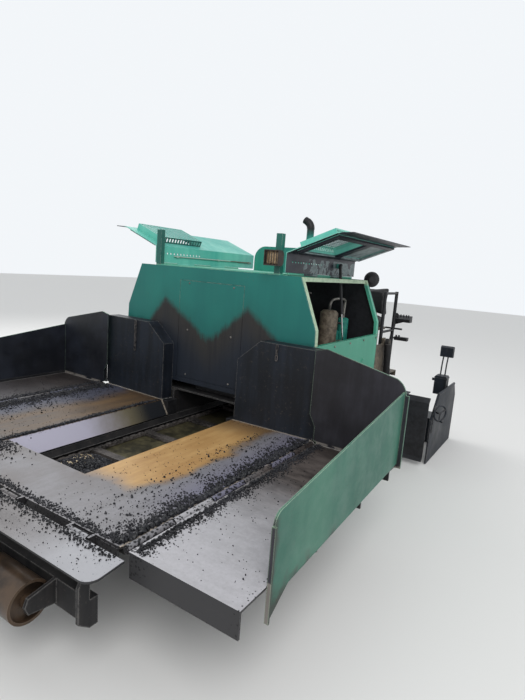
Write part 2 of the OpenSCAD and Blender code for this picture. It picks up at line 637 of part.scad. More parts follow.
// Apron
apron_axis = [hopper_front_y - 26, floor_z - 11];
apron_pin_r = 6;
apron_knuckle_x = [-800, -300, 300, 800];
module apron() color(steel) {
    a = apron_axis;
    r = 55;
    tip = a[0] - apron_l;
    intersection() {
        prism_x(sheet([[a[0] - 17, a[1] + 5], [a[0] - 30, a[1] + 5], [tip, a[1] - 10]], 10),
            -apron_half_w, apron_half_w);
        translate([0, 0, a[1] - 60]) linear_extrude(120) polygon(concat(
            arc_points([-apron_half_w + r, tip + r], r, 180, 270, 6),
            arc_points([apron_half_w - r, tip + r], r, 270, 360, 6),
            [[apron_half_w, a[0]], [-apron_half_w, a[0]]]));
    }
    // Folded stiffener under the plate
    block([-apron_half_w + 90, apron_half_w - 90], [tip + 60, tip + 66], [a[1] - 34, a[1] - 6]);
    for (x = apron_knuckle_x) difference() {
        union() {
            rod_x([x - 60, x + 60], a[0], a[1], 12);
            block([x - 60, x + 60], [a[0] - 22, a[0]], [a[1] - 5, a[1] + 5]);
        }
        rod_x([x - 61, x + 61], a[0], a[1], apron_pin_r + 0.1);
    }
}

// Push beam and rollers
module push_beam() color(soot) {
    difference() {
        block([-1000, 1000], [-2190, -2150], [290, 410]);
        block([-960, 960], [-2151, -2149 + 20], [310, 390]);
    }
    difference() {
        union() {
            block([-90, 90], [-2151, push_pivot_y], [270, 290]);
            block([-90, 90], [-2151, push_pivot_y], [410, 430]);
            for (z = [270, 410]) rod_z(0, push_pivot_y, [z, z + 20], 90);
            block([-90, 90], [-2190, -2149], [270, 430]);
        }
        rod_z(0, push_pivot_y, [200, 500], 12.1);
        rod_z(0, push_pivot_y, [290, 410], 48);
    }
    both_sides() {
        for (x = [[push_x + 8, push_x + 24], [214, 230]])
            prism_x([[-2189, 300], [-2189, 410], [push_y - 20, push_z + 34], [push_y - 34, push_z],
                [push_y - 20, push_z - 34]], x[0], x[1]);
        rod_x([215, push_x + 20], push_y, push_z, 18);
        prism_x([[-2240, 330], [-2240, 480], [-2220, 520], [-2189, 520], [-2189, 290]], 984, 1000);
    }
}
module push_roller(s) color(steel) on_side(s) {
    difference() {
        rod_x([238, push_x], push_y, push_z, push_r);
        rod_x([230, push_x + 8], push_y, push_z, 18.1);
        for (x = [237, push_x - 24]) difference() {
            rod_x([x, x + 25], push_y, push_z, push_r - 12);
            rod_x([x - 1, x + 26], push_y, push_z, 30);
        }
    }
}

// Tracks
module tracks() color(soot) both_sides() {
    translate([track_x - shoe_w / 2, 0, 0]) rotate([90, 0, 90]) linear_extrude(shoe_w) difference() {
        polygon(belt_outline(idler_y, sprocket_y, track_zc, track_h / 2 - pad_h - 5, shoes,
            shoe_gap, 8, 5, pad_h + 5));
        translate([idler_y, track_zc - track_ri]) square([sprocket_y - idler_y, 2 * track_ri]);
        for (y = [idler_y, sprocket_y]) translate([y, track_zc]) circle(track_ri);
    }
}
roller_r = 62;
roller_ys = [-780, -460, -140, 180, 500];
carrier_r = 45;
carrier_ys = [-520, 240];
beam_x = [track_x - 45, track_x + 45];
wheel_x = [beam_x[0] - 14, beam_x[1] + 14];
roller_z = track_zc - track_ri + roller_r + seat;
carrier_z = track_zc + track_ri - carrier_r - seat;
// A pair of side plates that hold a roller's ends, with feet on the track frame's beam
module roller_plates(y, z) {
    for (side = [-1, 1]) translate([track_x, 0, 0]) scale([side, 1, 1]) {
        block([59 + seat, 70], [y - 22, y + 22], [min(z - 18, 200), max(z + 18, 300)]);
        block([44, 70], [y - 22, y + 22], [200, 300]);
    }
}
module track_frames() color(soot) both_sides() {
    prism_x([[idler_y + 60, 190], [idler_y + 60, 290], [idler_y + 180, 330], [sprocket_y - 240, 330],
        [sprocket_y - 60, 300], [sprocket_y - 60, 200], [sprocket_y - 240, 186], [idler_y + 180, 186]],
        beam_x[0], beam_x[1]);
    // Fork arms out to the idler's axle
    for (x = [beam_x[0] - 14, beam_x[1] - 2])
        prism_x([[idler_y - 40, 215], [idler_y - 40, 285], [idler_y + 240, 300], [idler_y + 240, 200]],
            x, x + 16);
    for (y = roller_ys) roller_plates(y, roller_z);
    for (y = carrier_ys) roller_plates(y, carrier_z);
}
module track_wheels() color(soot) both_sides() {
    w = [beam_x[0] + 6, beam_x[1] - 6];
    difference() {
        rod_x(w, idler_y, track_zc, track_ri - seat);
        prism_x([[idler_y + 56, 150], [idler_y + 56, 350], [idler_y + 210, 350], [idler_y + 210, 150]],
            w[0] - 1, w[1] + 1);
    }
    rod_x([beam_x[0] + 2 + seat, beam_x[1] - 2 - seat], idler_y, track_zc, 40);
    difference() {
        rod_x(wheel_x, sprocket_y, track_zc, track_ri - seat);
        prism_x([[sprocket_y - 56, 150], [sprocket_y - 56, 350], [sprocket_y - 210, 350],
            [sprocket_y - 210, 150]], wheel_x[0] - 1, wheel_x[1] + 1);
    }
    for (y = roller_ys) rod_x(wheel_x, y, roller_z, roller_r);
    for (y = carrier_ys) rod_x(wheel_x, y, carrier_z, carrier_r);
}

// Engine bay
bay_z = deck_plate_z + 12;
head_z = 1330;
cylinder_pitch = 130;
cylinder_ys = [for (k = [0 : 3]) 100 + k * cylinder_pitch];
// Body of revolution about a vertical axis, from a base point and a half outline
module turned(p, outline) {
    translate(p) rotate_extrude() polygon(concat([[0, 0]], outline, [[0, outline[len(outline) - 1][1]]]));
}
module can(p, h, r) {
    turned(p, [[r * 0.72, 0], [r, r * 0.28], [r, h - r * 0.28], [r * 0.72, h]]);
}
module engine_block() color([0.3, 0.33, 0.33]) {
    // Sump and crankcase, cylinder block, head
    prism_y([[-180, bay_z], [180, bay_z], [230, 760], [290, 800], [290, 1060], [230, 1100], [230, head_z],
        [-230, head_z], [-230, 1100], [-300, 1060], [-300, 800], [-230, 760]], -30, 610);
    // Flywheel housing and timing case
    rod_y(0, [609, 650], 930, 250);
    prism_y([[-150, 720], [150, 720], [200, 900], [170, 1300], [-170, 1300], [-200, 900]], -70, -29);
    // Ribs of the crankcase
    for (y = cylinder_ys) block([-306, 296], [y - 71, y - 59], [820, 1050]);
    // Rocker cover with cooling ribs
    prism_y([[-130, head_z - 1], [130, head_z - 1], [130, 1395], [96, 1430], [-96, 1430], [-130, 1395]],
        0, 590);
    for (y = [30 : 40 : 550])
        prism_y([[-136, head_z - 1], [136, head_z - 1], [136, 1398], [98, 1437], [-98, 1437], [-136, 1398]],
            y, y + 8);
    // Crankshaft pulley
    rod_y(0, [-110, -69], 820, 92);
}
module engine_fittings() color(brown) {
    // Canisters, filters and receiver: place, base and top height, radius
    for (c = [[600, 560, bay_z, 1380, 78], [640, 780, bay_z, 1310, 48], [600, 690, bay_z, 1200, 44],
        [-600, 300, bay_z, 1350, 90], [-560, 620, bay_z, 1280, 60]])
        can([c[0], c[1], c[2]], c[3] - c[2], c[4]);
    // Exhaust manifold with a branch for each cylinder
    for (y = cylinder_ys) rod_x([230 + seat, 330], y, 1240, 24);
    rod_y(330, [cylinder_ys[0] - 40, cylinder_ys[3] + 40], 1240, 34);
    // Corrugated air hose from the deck, and its duct to the head
    hose_h = 900;
    turned([560, 170, bay_z], [for (k = [0 : 24]) for (q = [0, 1])
        [q == 0 ? 27 : 34, (k + q * 0.5) * hose_h / 25]]);
    rod([560, 170, bay_z + hose_h - 14], [190, 170, head_z + 150], 30);
    rod_z(190, 170, [head_z + seat, head_z + 180], 38);
    // Generator on its bracket beside the timing case
    rod_y(358, [-60, 90], 1060, 56);
    rod_y(358, [-84, -59], 1060, 40);
    block([296 + seat, 350], [-20, 60], [1020, 1052]);
    // Fan in its shroud in front of the timing case
    difference() {
        rod_y(0, [-190, -130], 1080, 240);
        rod_y(0, [-191, -129], 1080, 225);
    }
    rod_y(0, [-180, -70 - seat], 1080, 36);
    for (a = [0 : 60 : 300]) translate([0, -160, 1080]) rotate([0, a, 0]) rotate([0, 0, 28])
        translate([0, -3, 0]) block([-28, 28], [0, 6], [30, 190]);
    block([-210, 210], [-190, -130], [bay_z, 852]);
    // Battery boxes with lids
    for (b = [[430, 560, 1200], [-800, -460, 1060]]) {
        block([b[0], b[1]], [-170, 60], [bay_z, b[2]]);
        block([b[0] - 8, b[1] + 8], [-178, 68], [b[2] - 1, b[2] + 26]);
    }
}
exhaust_xy = [250, 745];
exhaust_bend_r = 75;
exhaust_bend = 60;
module exhaust() color(green) {
    tip = 30;
    bend_z = exhaust_top_z - 109;
    rod_z(exhaust_xy[0], exhaust_xy[1], [roof_z + 8, bend_z + 4], exhaust_r);
    // A cast elbow turns the end over towards the right, and the tip is open
    translate([exhaust_xy[0] - exhaust_bend_r, exhaust_xy[1], bend_z]) rotate([90, 0, 0]) {
        rotate_extrude(angle = exhaust_bend) translate([exhaust_bend_r, 0]) circle(exhaust_r + 2);
        rotate([0, 0, exhaust_bend]) translate([exhaust_bend_r, -4, 0]) rotate([-90, 0, 0]) difference() {
            cylinder(h = tip + 4, r = exhaust_r);
            translate([0, 0, 8]) cylinder(h = tip, r = exhaust_r - 3);
        }
    }
    // Foot flange and clamp
    rod_z(exhaust_xy[0], exhaust_xy[1], [roof_z + 8, roof_z + 18], exhaust_r + 26);
    rod_z(exhaust_xy[0], exhaust_xy[1], [roof_z + 130, roof_z + 160], exhaust_r + 5);
}
module air_cleaner() color(green) {
    rod_z(500, 800, [roof_z + 8, 1704], 42);
    turned([500, 800, 1700], [[60, 0], [88, 10], [102, 30], [104, 42], [104, 98], [108, 98], [108, 106],
        [60, 122], [20, 126]]);
}
lamp_post_x = 575;
lamp_post_w = 48;
module lamp_posts() color(green) both_sides() difference() {
    block([lamp_post_x - lamp_post_w / 2, lamp_post_x + lamp_post_w / 2],
        [hood_front_y - 4, hood_front_y + 38], [roof_z + 8 + seat, 1940]);
    block([lamp_post_x - lamp_post_w / 2 + 4, lamp_post_x + lamp_post_w / 2 - 4],
        [hood_front_y, hood_front_y + 34], [roof_z + 20, 1941]);
}
// Lamp behind bars, hung in front of the left post
lamp_x = [508, 628];
lamp_z = [1715, 1823];
module work_lamp() color([0.5, 0.36, 0.2]) {
    y = hood_front_y - 4 - seat;
    difference() {
        prism_x([[y - 78, lamp_z[0]], [y - 78, lamp_z[1]], [y - 30, lamp_z[1]], [y - 6, lamp_z[1] - 24],
            [y - 6, lamp_z[0] + 24], [y - 30, lamp_z[0]]], lamp_x[0], lamp_x[1]);
        block([lamp_x[0] + 7, lamp_x[1] - 7], [y - 79, y - 50], [lamp_z[0] + 7, lamp_z[1] - 7]);
    }
    for (k = [1 : 5]) rod_z(lamp_x[0] + k * 20, y - 72, [lamp_z[0] + 6, lamp_z[1] - 6], 3);
    // Bracket on the post
    block([lamp_post_x - 18, lamp_post_x + 18], [y - 7, y], [lamp_z[0] + 34, lamp_z[1] - 34]);
}
// Locking chains: width, length and thickness of one link
link_w = 18;
link_l = 34;
link_t = 5;
module link(c, turned) {
    translate(c) rotate([0, 0, turned ? 90 : 0]) rotate([90, 0, 0])
        linear_extrude(link_t, center = true) difference() {
            union() {
                square([link_w, link_l - link_w], center = true);
                for (z = [-1, 1]) translate([0, z * (link_l - link_w) / 2]) circle(link_w / 2);
            }
            square([link_w - 2 * link_t, link_l - link_w], center = true);
            for (z = [-1, 1]) translate([0, z * (link_l - link_w) / 2]) circle(link_w / 2 - link_t);
        }
}
module hold_chain(x, z, links) {
    y = rear_wall_y - link_w / 2 - 1;
    rod_y(x, [rear_wall_y - link_w - 1, rear_wall_y - seat], z, 2.5);
    for (k = [0 : links - 1])
        link([x, y, z + 2.5 + link_t + seat - link_l / 2 - k * (link_l - 2 * link_t - seat)], k % 2 == 1);
}
module hold_chains() color(soot) {
    hold_chain(-690, rear_wall_top_z - 14, 6);
    hold_chain(700, rear_wall_top_z - 14, 2);
}
module platform() color(brown) {
    top = platform_z + 10;
    block([-side_x, side_x], [hood_rear_y + seat, 1690], [platform_z, top]);
    // Folded edge under the rear, and steps down to the screed
    block([-side_x, side_x], [1682, 1690], [platform_z - 50, platform_z + 1]);
    both_sides() {
        prism_x(concat([[hood_rear_y + seat, platform_z - 40], [hood_rear_y + seat, 1080]],
            arc_points([1290, 960], 120, 90, 0, 6), [[1410, platform_z - 40]]), side_x, side_x + 8);
        prism_x([[1150, 1040], [1150, 1130], [1210, 1130], [1210, 1040]], side_x - 8, side_x + 11);
        rod_x([side_x + 7, ram_x - 18 - seat], ram_top[0], ram_top[1], 17);
        rod_x([side_x + 7, ram_x + 22], ram_top[0], ram_top[1], 14);
        // Pedestal and pan of a seat
        prism_x([[1400, top - 1], [1530, top - 1], [1550, 1166], [1370, 1166]], 460, 630);
        block([340, 750], [1290, 1640], [1165, seat_z - seat]);
    }
}
rail_ys = [1178, 1510];
module guard_rails() color(black) both_sides() {
    x = side_x - 30;
    for (y = rail_ys) rod_z(x, y, [platform_z + 10 + seat, 1561], 16);
    for (z = [1545, 1180]) rod_y(x, [rail_ys[0] - 6, rail_ys[1] + 6], z, 12);
}
module console() color(green) {
    y = [hood_rear_y + seat, 1080];
    prism_x([[y[0], platform_z + 10 + seat], [y[0], 1560], [y[1] - 50, 1560], [y[1], 1440],
        [y[1], platform_z + 10 + seat]], -420, 420);
    // Rounded instrument hood
    translate([0, 1090, 0]) rotate([90, 0, 0]) linear_extrude(140) union() {
        translate([-480, 1559]) square([500, 220]);
        translate([-350, 1559]) square([370, 350]);
        translate([-350, 1779]) circle(130);
    }
    // Steering levers and switches on the sloping face
    for (x = [-300 : 60 : 300]) rod([x, y[1] - 30, 1480], [x, y[1] + 10, 1500], 9);
    for (x = [-90, 90]) {
        rod([x, y[1] - 40, 1540], [x, y[1] + 30, 1640], 7);
        translate([x, y[1] + 32, 1646]) sphere(r = 17);
    }
}
seat_z = 1190;
module seats() color(black) {
    both_sides() block([330, 760], [1280, 1640], [seat_z, seat_z + 100]);
    both_sides() block([330, 760], [1600, 1680], [seat_z + 100 + seat, 1600]);
}
// Leaning stands with a switch box on top and one below it
stand_y = 1580;
function stand_x(z) = side_x - 27 + (z - 1348) * 0.125;
module control_stands() color(black) both_sides() {
    foot = platform_z + 10 + seat;
    rod([stand_x(foot + 4), stand_y, foot + 4], [stand_x(1348), stand_y, 1348], 14);
    rod_z(stand_x(foot), stand_y, [foot, foot + 8], 44);
    rod_x([stand_x(1190) - 80, stand_x(1190) + 90], stand_y, 1190, 9);
    // Top box with its switches
    prism_x([[stand_y - 45, 1266], [stand_y - 45, 1296], [stand_y + 40, 1328], [stand_y + 40, 1266]],
        side_x - 23, side_x + 123);
    for (x = [6, 34, 62, 90, 112]) rod_z(side_x - 20 + x, stand_y + 10, [1300, 1338], 6);
    // Lower box with its knobs
    block([side_x - 18, side_x + 112], [stand_y - 30, stand_y + 30], [1078, 1112]);
    for (x = [12, 40]) rod_z(side_x - 18 + x, stand_y, [1111, 1128], 9);
    rod_x([stand_x(1095), side_x - 17], stand_y, 1095, 8);
    // Wedge-shaped support of the top box
    prism_y([[side_x - 40, 1230], [side_x + 60, 1267], [side_x - 22, 1267]], stand_y - 6, stand_y + 6);
}
mirror_x = roof_half_w + 14;
module mirror_arm() color(black) {
    rod_y(mirror_x - 34, [hood_rear_y + seat, hood_rear_y + 30], 1540, 8);
    rod([mirror_x - 34, hood_rear_y + 24, 1540], [mirror_x, 1003, 1632], 7);
    // Round housing with a rim, its glass set back
    translate([mirror_x, 1004, 1664]) rotate([0, 0, 35]) rotate([90, 0, 0]) difference() {
        rotate_extrude()
            polygon([[0, -26], [30, -24], [58, -8], [70, 6], [70, 16], [64, 16], [60, 12], [0, 12]]);
        translate([0, 0, 9]) cylinder(h = 8, r = 58);
    }
}

// Tow arms and lift cylinders
arm_x = [hood_half_w + 6, hood_half_w + 38];
ram_x = (arm_x[0] + arm_x[1]) / 2;
ram_top = [1180, 1100];
ram_lug = [1300, 545];
lift_a = atan2(ram_lug[1] - ram_top[1], ram_lug[0] - ram_top[0]);
lift_l = norm(ram_lug - ram_top);
module lift_barrels() color(soot) {
    both_sides() in_yz(ram_x, ram_top, lift_a) ram_barrel(30, 16, 340, 28, 36, 14.1);
}
module lift_rods() color(steel) {
    both_sides() in_yz(ram_x, ram_top, lift_a) ram_rod(14, 240, lift_l, 20, 16, 12.1);
}
module tow_arms() color(green) both_sides() {
    difference() {
        prism_x([[tow_y - 60, tow_z - 40], [tow_y - 60, tow_z + 40], [1240, 520], [1275, 561], [1325, 561],
            [1360, 520], [1620, 500], [1620, 300], [1500, 300], [1420, 400]], arm_x[0], arm_x[1]);
        // Fork that takes the lift cylinder's eye
        block([ram_x - 8 - seat, ram_x + 8 + seat], [1262, 1338], [512, 570]);
        rod_x([arm_x[0] - 1, arm_x[1] + 1], tow_y, tow_z, 20.1);
    }
    // Pin of the lift cylinder, with room for the eye's play
    rod_x([arm_x[0] - 2, arm_x[1] + 2], ram_lug[0], ram_lug[1], 8);
    block([screed_half_w + seat, arm_x[1]], [screed_y + 30, 1620], [300, 340]);
}
// Plate in front of the auger's outer end, with its ribs
channel_y = auger_y - auger_r - 30;
module channel_plates() color(black) both_sides() {
    prism_x(sheet([[channel_y - 30, 50], [channel_y, 80], [channel_y, 600], [channel_y + 34, 640]], 8),
        arm_x[1] + 12, gate_x - 20);
    for (x = [arm_x[1] + 50 : 150 : gate_x - 40])
        prism_x([[channel_y - 1, 120], [channel_y + 22, 150], [channel_y + 22, 560], [channel_y - 1, 590]],
            x, x + 8);
    block([arm_x[1] + seat, arm_x[1] + 40], [channel_y - 1, channel_y + 30], [430, 500]);
}
module auger_flights(s) {
    turns = 3;
    on_side(s) translate([40, 0, 0]) rotate([0, 90, 0])
        linear_extrude(turns * auger_pitch, twist = -360 * turns, slices = turns * 20, segments = 4)
            translate([30, -4]) square([auger_r - 30, 8]);
}
module auger() color(steel) {
    translate([0, auger_y, auger_z]) {
        rod_x([-860, 860], 0, 0, 34);
        auger_flights(1);
        auger_flights(-1);
    }
}
module auger_hangers() {
    difference() {
        union() {
            rod_x([845, 866], auger_y, auger_z, 60);
            block([845, 866], [auger_y - 40, auger_y + 40], [auger_z, 700]);
            block([frame_x[0], 866], [frame_rear_y - 1, auger_y + 40], [deck_plate_z, 700]);
        }
        rod_x([844, 861], auger_y, auger_z, 34.1);
    }
}

// Screed
screed_rear_y = 1850;
module screed() color(soot) {
    prism_x([[screed_y, sole_gap + 20], [screed_y + 20, sole_gap], [screed_rear_y, sole_gap],
        [screed_rear_y, 330], [screed_rear_y - 40, 360], [screed_y + 30, 360], [screed_y, 300]],
        -screed_half_w, screed_half_w);
    for (x = [100, 700]) both_sides() block([x, x + 60], [screed_rear_y - 90, footboard_y - 30], [340, 381]);
    // Guide tubes of the extensions on their middle bracket
    for (y = guide_ys) rod_x([-guide_half_l, guide_half_l], y, guide_z, guide_r);
    block([-50, 50], [screed_rear_y - 1, guide_ys[1] + 40], [guide_z - 50, guide_z + 50]);
    block([-screed_half_w, screed_half_w], [footboard_y - 160, footboard_y], [380, 392]);
}
guide_ys = [1930, 2090];
guide_z = 190;
guide_r = 22;
guide_half_l = 870;
gate_bolts = [2020, 150];
gate_bolt_pitch = [240, 120];
gate_bolt_r = 9;
gate_t = 15;
module extension(s) color(black) on_side(s) {
    x0 = gate_x - gate_t - 900;
    difference() {
        prism_x([[screed_rear_y + 8, sole_gap + 20], [screed_rear_y + 28, sole_gap], [2180, sole_gap],
            [2180, 240], [2150, 270], [screed_rear_y + 8, 270]], x0, gate_x - gate_t + 1);
        for (y = guide_ys) rod_x([x0 - 1, gate_x - gate_t - 5], y, guide_z, guide_r + 0.15);
    }
    // Gate with a bead along its edge
    difference() {
        prism_x([[1230, sole_gap], [1230, 420], [1420, 640], [2100, 640], [2200, 500], [2200, sole_gap]],
            gate_x - gate_t, gate_x);
        for (y = [-1, 1]) for (z = [-1, 1])
            rod_x([gate_x - 40, gate_x + 1], gate_bolts[0] + y * gate_bolt_pitch[0] / 2,
                gate_bolts[1] + z * gate_bolt_pitch[1] / 2, gate_bolt_r);
    }
    rod([gate_x - 7, 1422, 640], [gate_x - 7, 2098, 640], 12);
    rod([gate_x - 7, 1232, 422], [gate_x - 7, 1418, 638], 12);
    // Screw jack of the gate with its hand wheel on a leaning arm
    prism_x([[1262, 300], [1322, 290], [1340, 520], [1300, 560], [1262, 520]], gate_x - 1, gate_x + 9);
    translate([gate_x + 8, 1300, 500]) rotate([0, 0, -30]) rotate([0, 90, 0]) hand_wheel();
    // Control box, its head on two bent bars
    block([gate_x - 144, gate_x - 24], [1780, 1880], [560, 730]);
    block([gate_x - 25, gate_x - gate_t + 1], [1800, 1860], [570, 630]);
    prism_y([[gate_x - 150, 729], [gate_x - 18, 729], [gate_x - 34, 752], [gate_x - 134, 752]], 1774, 1886);
    rod_x([gate_x - 176, gate_x - 143], 1830, 700, 14);
    for (x = [gate_x - 110, gate_x - 66])
        prism_x([[1834, 750], [1846, 750], [1858, 856], [1886, 944], [1874, 944], [1846, 860]], x, x + 12);
    prism_x([[1856, 940], [1850, 1040], [1880, 1052], [1906, 1040], [1906, 940]], gate_x - 138, gate_x - 12);
}
module hand_wheel() {
    reach = 58;
    cylinder(h = reach + 8, r = 11);
    translate([0, 0, reach]) {
        rotate_extrude() translate([72, 0]) circle(8);
        for (a = [0, 120, 240]) rotate(a) translate([0, -6, -4]) cube([70, 12, 8]);
        translate([72, 0, 0]) cylinder(h = 44, r = 8);
    }
}

main_frame();
cross_members();
hopper_brackets();
deck_plate();
drive_motors();
hopper_floor();
hopper_rear_walls();
conveyor_deck();
chain_guards();
conveyor_chain();
hood_front();
access_panel();
hood_frame();
hood_sides();
rear_bulkhead();
engine_block();
engine_fittings();
exhaust();
air_cleaner();
work_lamp();
hold_chains();
platform();
guard_rails();
console();
seats();
control_stands();
mirror_arm();  // mirror
fuel_tank();
lamp_posts();
tracks();
track_frames();
track_wheels();
wing_floor(1);  // wing_floor_left
wing_floor(-1);  // wing_floor_right
wing_wall(1);  // wing_wall_left
wing_wall(-1);  // wing_wall_right
wing_barrel(1);  // wing_barrel_left
wing_barrel(-1);  // wing_barrel_right
wing_rod(1);  // wing_rod_left
wing_rod(-1);  // wing_rod_right
apron();
push_beam();
push_roller(1);  // push_roller_left
push_roller(-1);  // push_roller_right
door(1, door_y[1]);  // door_left
door(-1, long_door_y);  // door_right
strut_barrel(1);  // strut_barrel_left
strut_barrel(-1);  // strut_barrel_right
strut_rod(1);  // strut_rod_left
strut_rod(-1);  // strut_rod_right
auger();
tow_arms();
channel_plates();
lift_barrels();
lift_rods();
screed();
extension(1);  // extension_left
extension(-1);  // extension_right
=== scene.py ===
# %% [markdown]
# A compact asphalt paver, dressed around a frame that is already right in size and place. The lesson goes
# from the camera to the finishes and the light, and then to the pieces that the frame leaves to the
# dresser: crumbs of asphalt, screws, chains, lamp and mirror glass, and the padded seats.

# %% Load the frame
import json
import math
import random

import bmesh
import bpy
from mathutils import Euler, Matrix, Vector, noise
from mathutils.bvhtree import BVHTree


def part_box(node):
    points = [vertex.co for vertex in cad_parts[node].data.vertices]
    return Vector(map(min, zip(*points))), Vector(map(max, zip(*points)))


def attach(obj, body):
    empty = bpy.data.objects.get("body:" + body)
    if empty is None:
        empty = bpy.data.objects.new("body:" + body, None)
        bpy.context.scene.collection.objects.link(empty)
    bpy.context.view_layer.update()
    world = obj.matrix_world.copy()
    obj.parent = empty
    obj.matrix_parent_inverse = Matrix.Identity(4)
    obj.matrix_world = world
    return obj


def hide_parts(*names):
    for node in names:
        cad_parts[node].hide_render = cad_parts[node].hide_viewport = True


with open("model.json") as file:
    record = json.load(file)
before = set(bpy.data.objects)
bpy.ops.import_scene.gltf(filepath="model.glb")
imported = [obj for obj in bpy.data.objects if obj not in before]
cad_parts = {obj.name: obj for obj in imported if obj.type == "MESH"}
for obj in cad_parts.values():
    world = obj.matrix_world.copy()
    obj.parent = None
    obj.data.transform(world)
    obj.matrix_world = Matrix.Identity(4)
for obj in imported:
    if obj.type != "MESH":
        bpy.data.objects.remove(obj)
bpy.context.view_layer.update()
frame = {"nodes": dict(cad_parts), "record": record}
nodes = frame["nodes"]

# %% [markdown]
# Blender keeps data and objects apart: a mesh, a lamp or a camera is data, and an object stands it in the
# scene. Operators of the menu could add both at once, but they depend on what is selected. Two small
# helpers do the same without a selection: one turns an edited mesh into data, and one stands data in the
# scene.


# %% Data and objects
def shape(mesh, name):
    """The data of a mesh that has been edited."""
    data = bpy.data.meshes.new(name)
    mesh.to_mesh(data)
    mesh.free()
    return data


def stand(name, data):
    """A new object in the scene, of some data."""
    made = bpy.data.objects.new(name, data)
    bpy.context.scene.collection.objects.link(made)
    return made


# %% [markdown]
# The camera stands where the photo was taken from: at eye height, in front of the left wing, looking back
# over the hopper. A constraint could aim it at a point, but that would keep it upright, and the photo leans
# by four degrees. So three turns give its direction, in the order in which a person would make them: turn
# round, tip down, lean the head.

# %% Camera
EYE = Vector((2.369, -3.270, 1.699))
TURN, TIP, LEAN = math.radians(32.28), math.radians(9.66), math.radians(4.39)
LONG_SIDE_LENS = 24.93
camera_data = bpy.data.cameras.new("eye")
camera_data.sensor_width = 36.0
camera_data.lens = LONG_SIDE_LENS
camera_data.clip_end = 100.0
camera = stand("eye", camera_data)
camera.matrix_world = (
    Matrix.Translation(EYE)
    @ Matrix.Rotation(TURN, 4, "Z")
    @ Matrix.Rotation(math.pi / 2 - TIP, 4, "X")
    @ Matrix.Rotation(LEAN, 4, "Z")
)
bpy.context.scene.camera = camera
bpy.context.scene.view_settings.view_transform = "Standard"
print("camera", [round(c, 2) for c in camera.location])

# %% [markdown]
# Shader arithmetic reads best as ordinary arithmetic. The class below wraps one socket, and each operator
# adds the Math node that does the sum. Everything else goes through one method that sets a node up and
# wires it. The nodes could be placed one by one instead, but a mask of three terms would then take ten
# lines, and nobody could read the formula in them.


# %% Shader helpers
class Wire:
    """One output socket, which understands Python's arithmetic."""

    def __init__(self, finish, socket):
        self.finish = finish
        self.socket = socket

    def math(self, operation, *others):
        return self.finish.node(
            "Math", {"operation": operation}, {i: v for i, v in enumerate((self,) + others)}
        )

    def __add__(self, other):
        return self.math("ADD", other)

    def __sub__(self, other):
        return self.math("SUBTRACT", other)

    def __mul__(self, other):
        return self.math("MULTIPLY", other)

    def __rsub__(self, other):
        return (self * -1.0).math("ADD", other)

    def __abs__(self):
        return self.math("ABSOLUTE")

    def least(self, other):
        return self.math("MINIMUM", other)

    def most(self, other):
        return self.math("MAXIMUM", other)

    def ramp(self, low, high, start=0.0, end=1.0):
        """Smooth step: start where the value is low, end where it is high."""
        return self.finish.node(
            "MapRange",
            {"interpolation_type": "SMOOTHSTEP"},
            {"Value": self, "From Min": low, "From Max": high, "To Min": start, "To Max": end},
        )

    def band(self, low, high, soft):
        """1 between low and high, 0 outside, with soft edges."""
        return self.ramp(low - soft, low + soft) * self.ramp(high + soft, high - soft)


FINISHES = {}


class Finish:
    """A material that is built up from wires. FINISHES finds it again by its name."""

    def __init__(self, name, **plain):
        FINISHES[name] = self
        self.material = bpy.data.materials.new(name)
        self.material.use_nodes = True
        self.tree = self.material.node_tree
        self.surface = self.tree.nodes["Principled BSDF"]
        self.place = self.node("TexCoord", {}, {}, "Object")
        self.set(**plain)

    def node(self, kind, settings, inputs, output=0):
        made = self.tree.nodes.new("ShaderNode" + kind)
        for key, value in settings.items():
            setattr(made, key, value)
        for key, value in inputs.items():
            self.plug(made.inputs[key], value)
        return Wire(self, made.outputs[output])

    def plug(self, socket, value):
        if isinstance(value, Wire):
            self.tree.links.new(value.socket, socket)
        elif socket.type == "RGBA":
            socket.default_value = (*value, 1.0)
        else:
            socket.default_value = value

    def set(self, **sockets):
        for key, value in sockets.items():
            self.plug(self.surface.inputs[key.replace("_", " ")], value)

    def split(self, vector):
        parts = self.node("SeparateXYZ", {}, {"Vector": vector}).socket.node
        return [Wire(self, output) for output in parts.outputs]

    def axes(self):
        return self.split(self.place)

    def facing(self):
        """The way that the surface faces, on the piece itself, so that it stays as the piece moves."""
        return self.split(self.node("TexCoord", {}, {}, "Normal"))

    def stretched(self, scale, turn=(0.0, 0.0, 0.0)):
        """Object coordinates, scaled and turned."""
        return self.node("Mapping", {}, {"Vector": self.place, "Scale": scale, "Rotation": turn})

    def noise(self, scale, detail, rough=0.55, place=None):
        return self.node(
            "TexNoise",
            {},
            {"Vector": place or self.place, "Scale": scale, "Detail": detail, "Roughness": rough},
        )

    def cells(self, scale):
        return self.node("TexVoronoi", {}, {"Vector": self.place, "Scale": scale})

    def mix(self, mask, low, high):
        """The colour low where the mask is 0 and high where it is 1."""
        return self.node("Mix", {"data_type": "RGBA"}, {"Factor": mask, 6: low, 7: high}, 2)

    def paint(self, colour, roughness, height, strength, distance):
        """Gives the surface its colour and roughness, and its bumps from a height."""
        bump = self.node("Bump", {}, {"Height": height, "Strength": strength, "Distance": distance})
        self.set(Base_Color=colour, Roughness=roughness, Normal=bump)

    def edges(self, radius, low=0.02, high=0.2):
        """1 along the sharp edges of a piece and 0 on its flats."""
        soft = self.node("Bevel", {"samples": 4}, {"Radius": radius})
        hard = self.node("NewGeometry", {}, {}, "Normal")
        same = self.node("VectorMath", {"operation": "DOT_PRODUCT"}, {0: soft, 1: hard}, "Value")
        return (1.0 - same).ramp(low, high)


print("shader helpers", [c.__name__ for c in (Wire, Finish)])

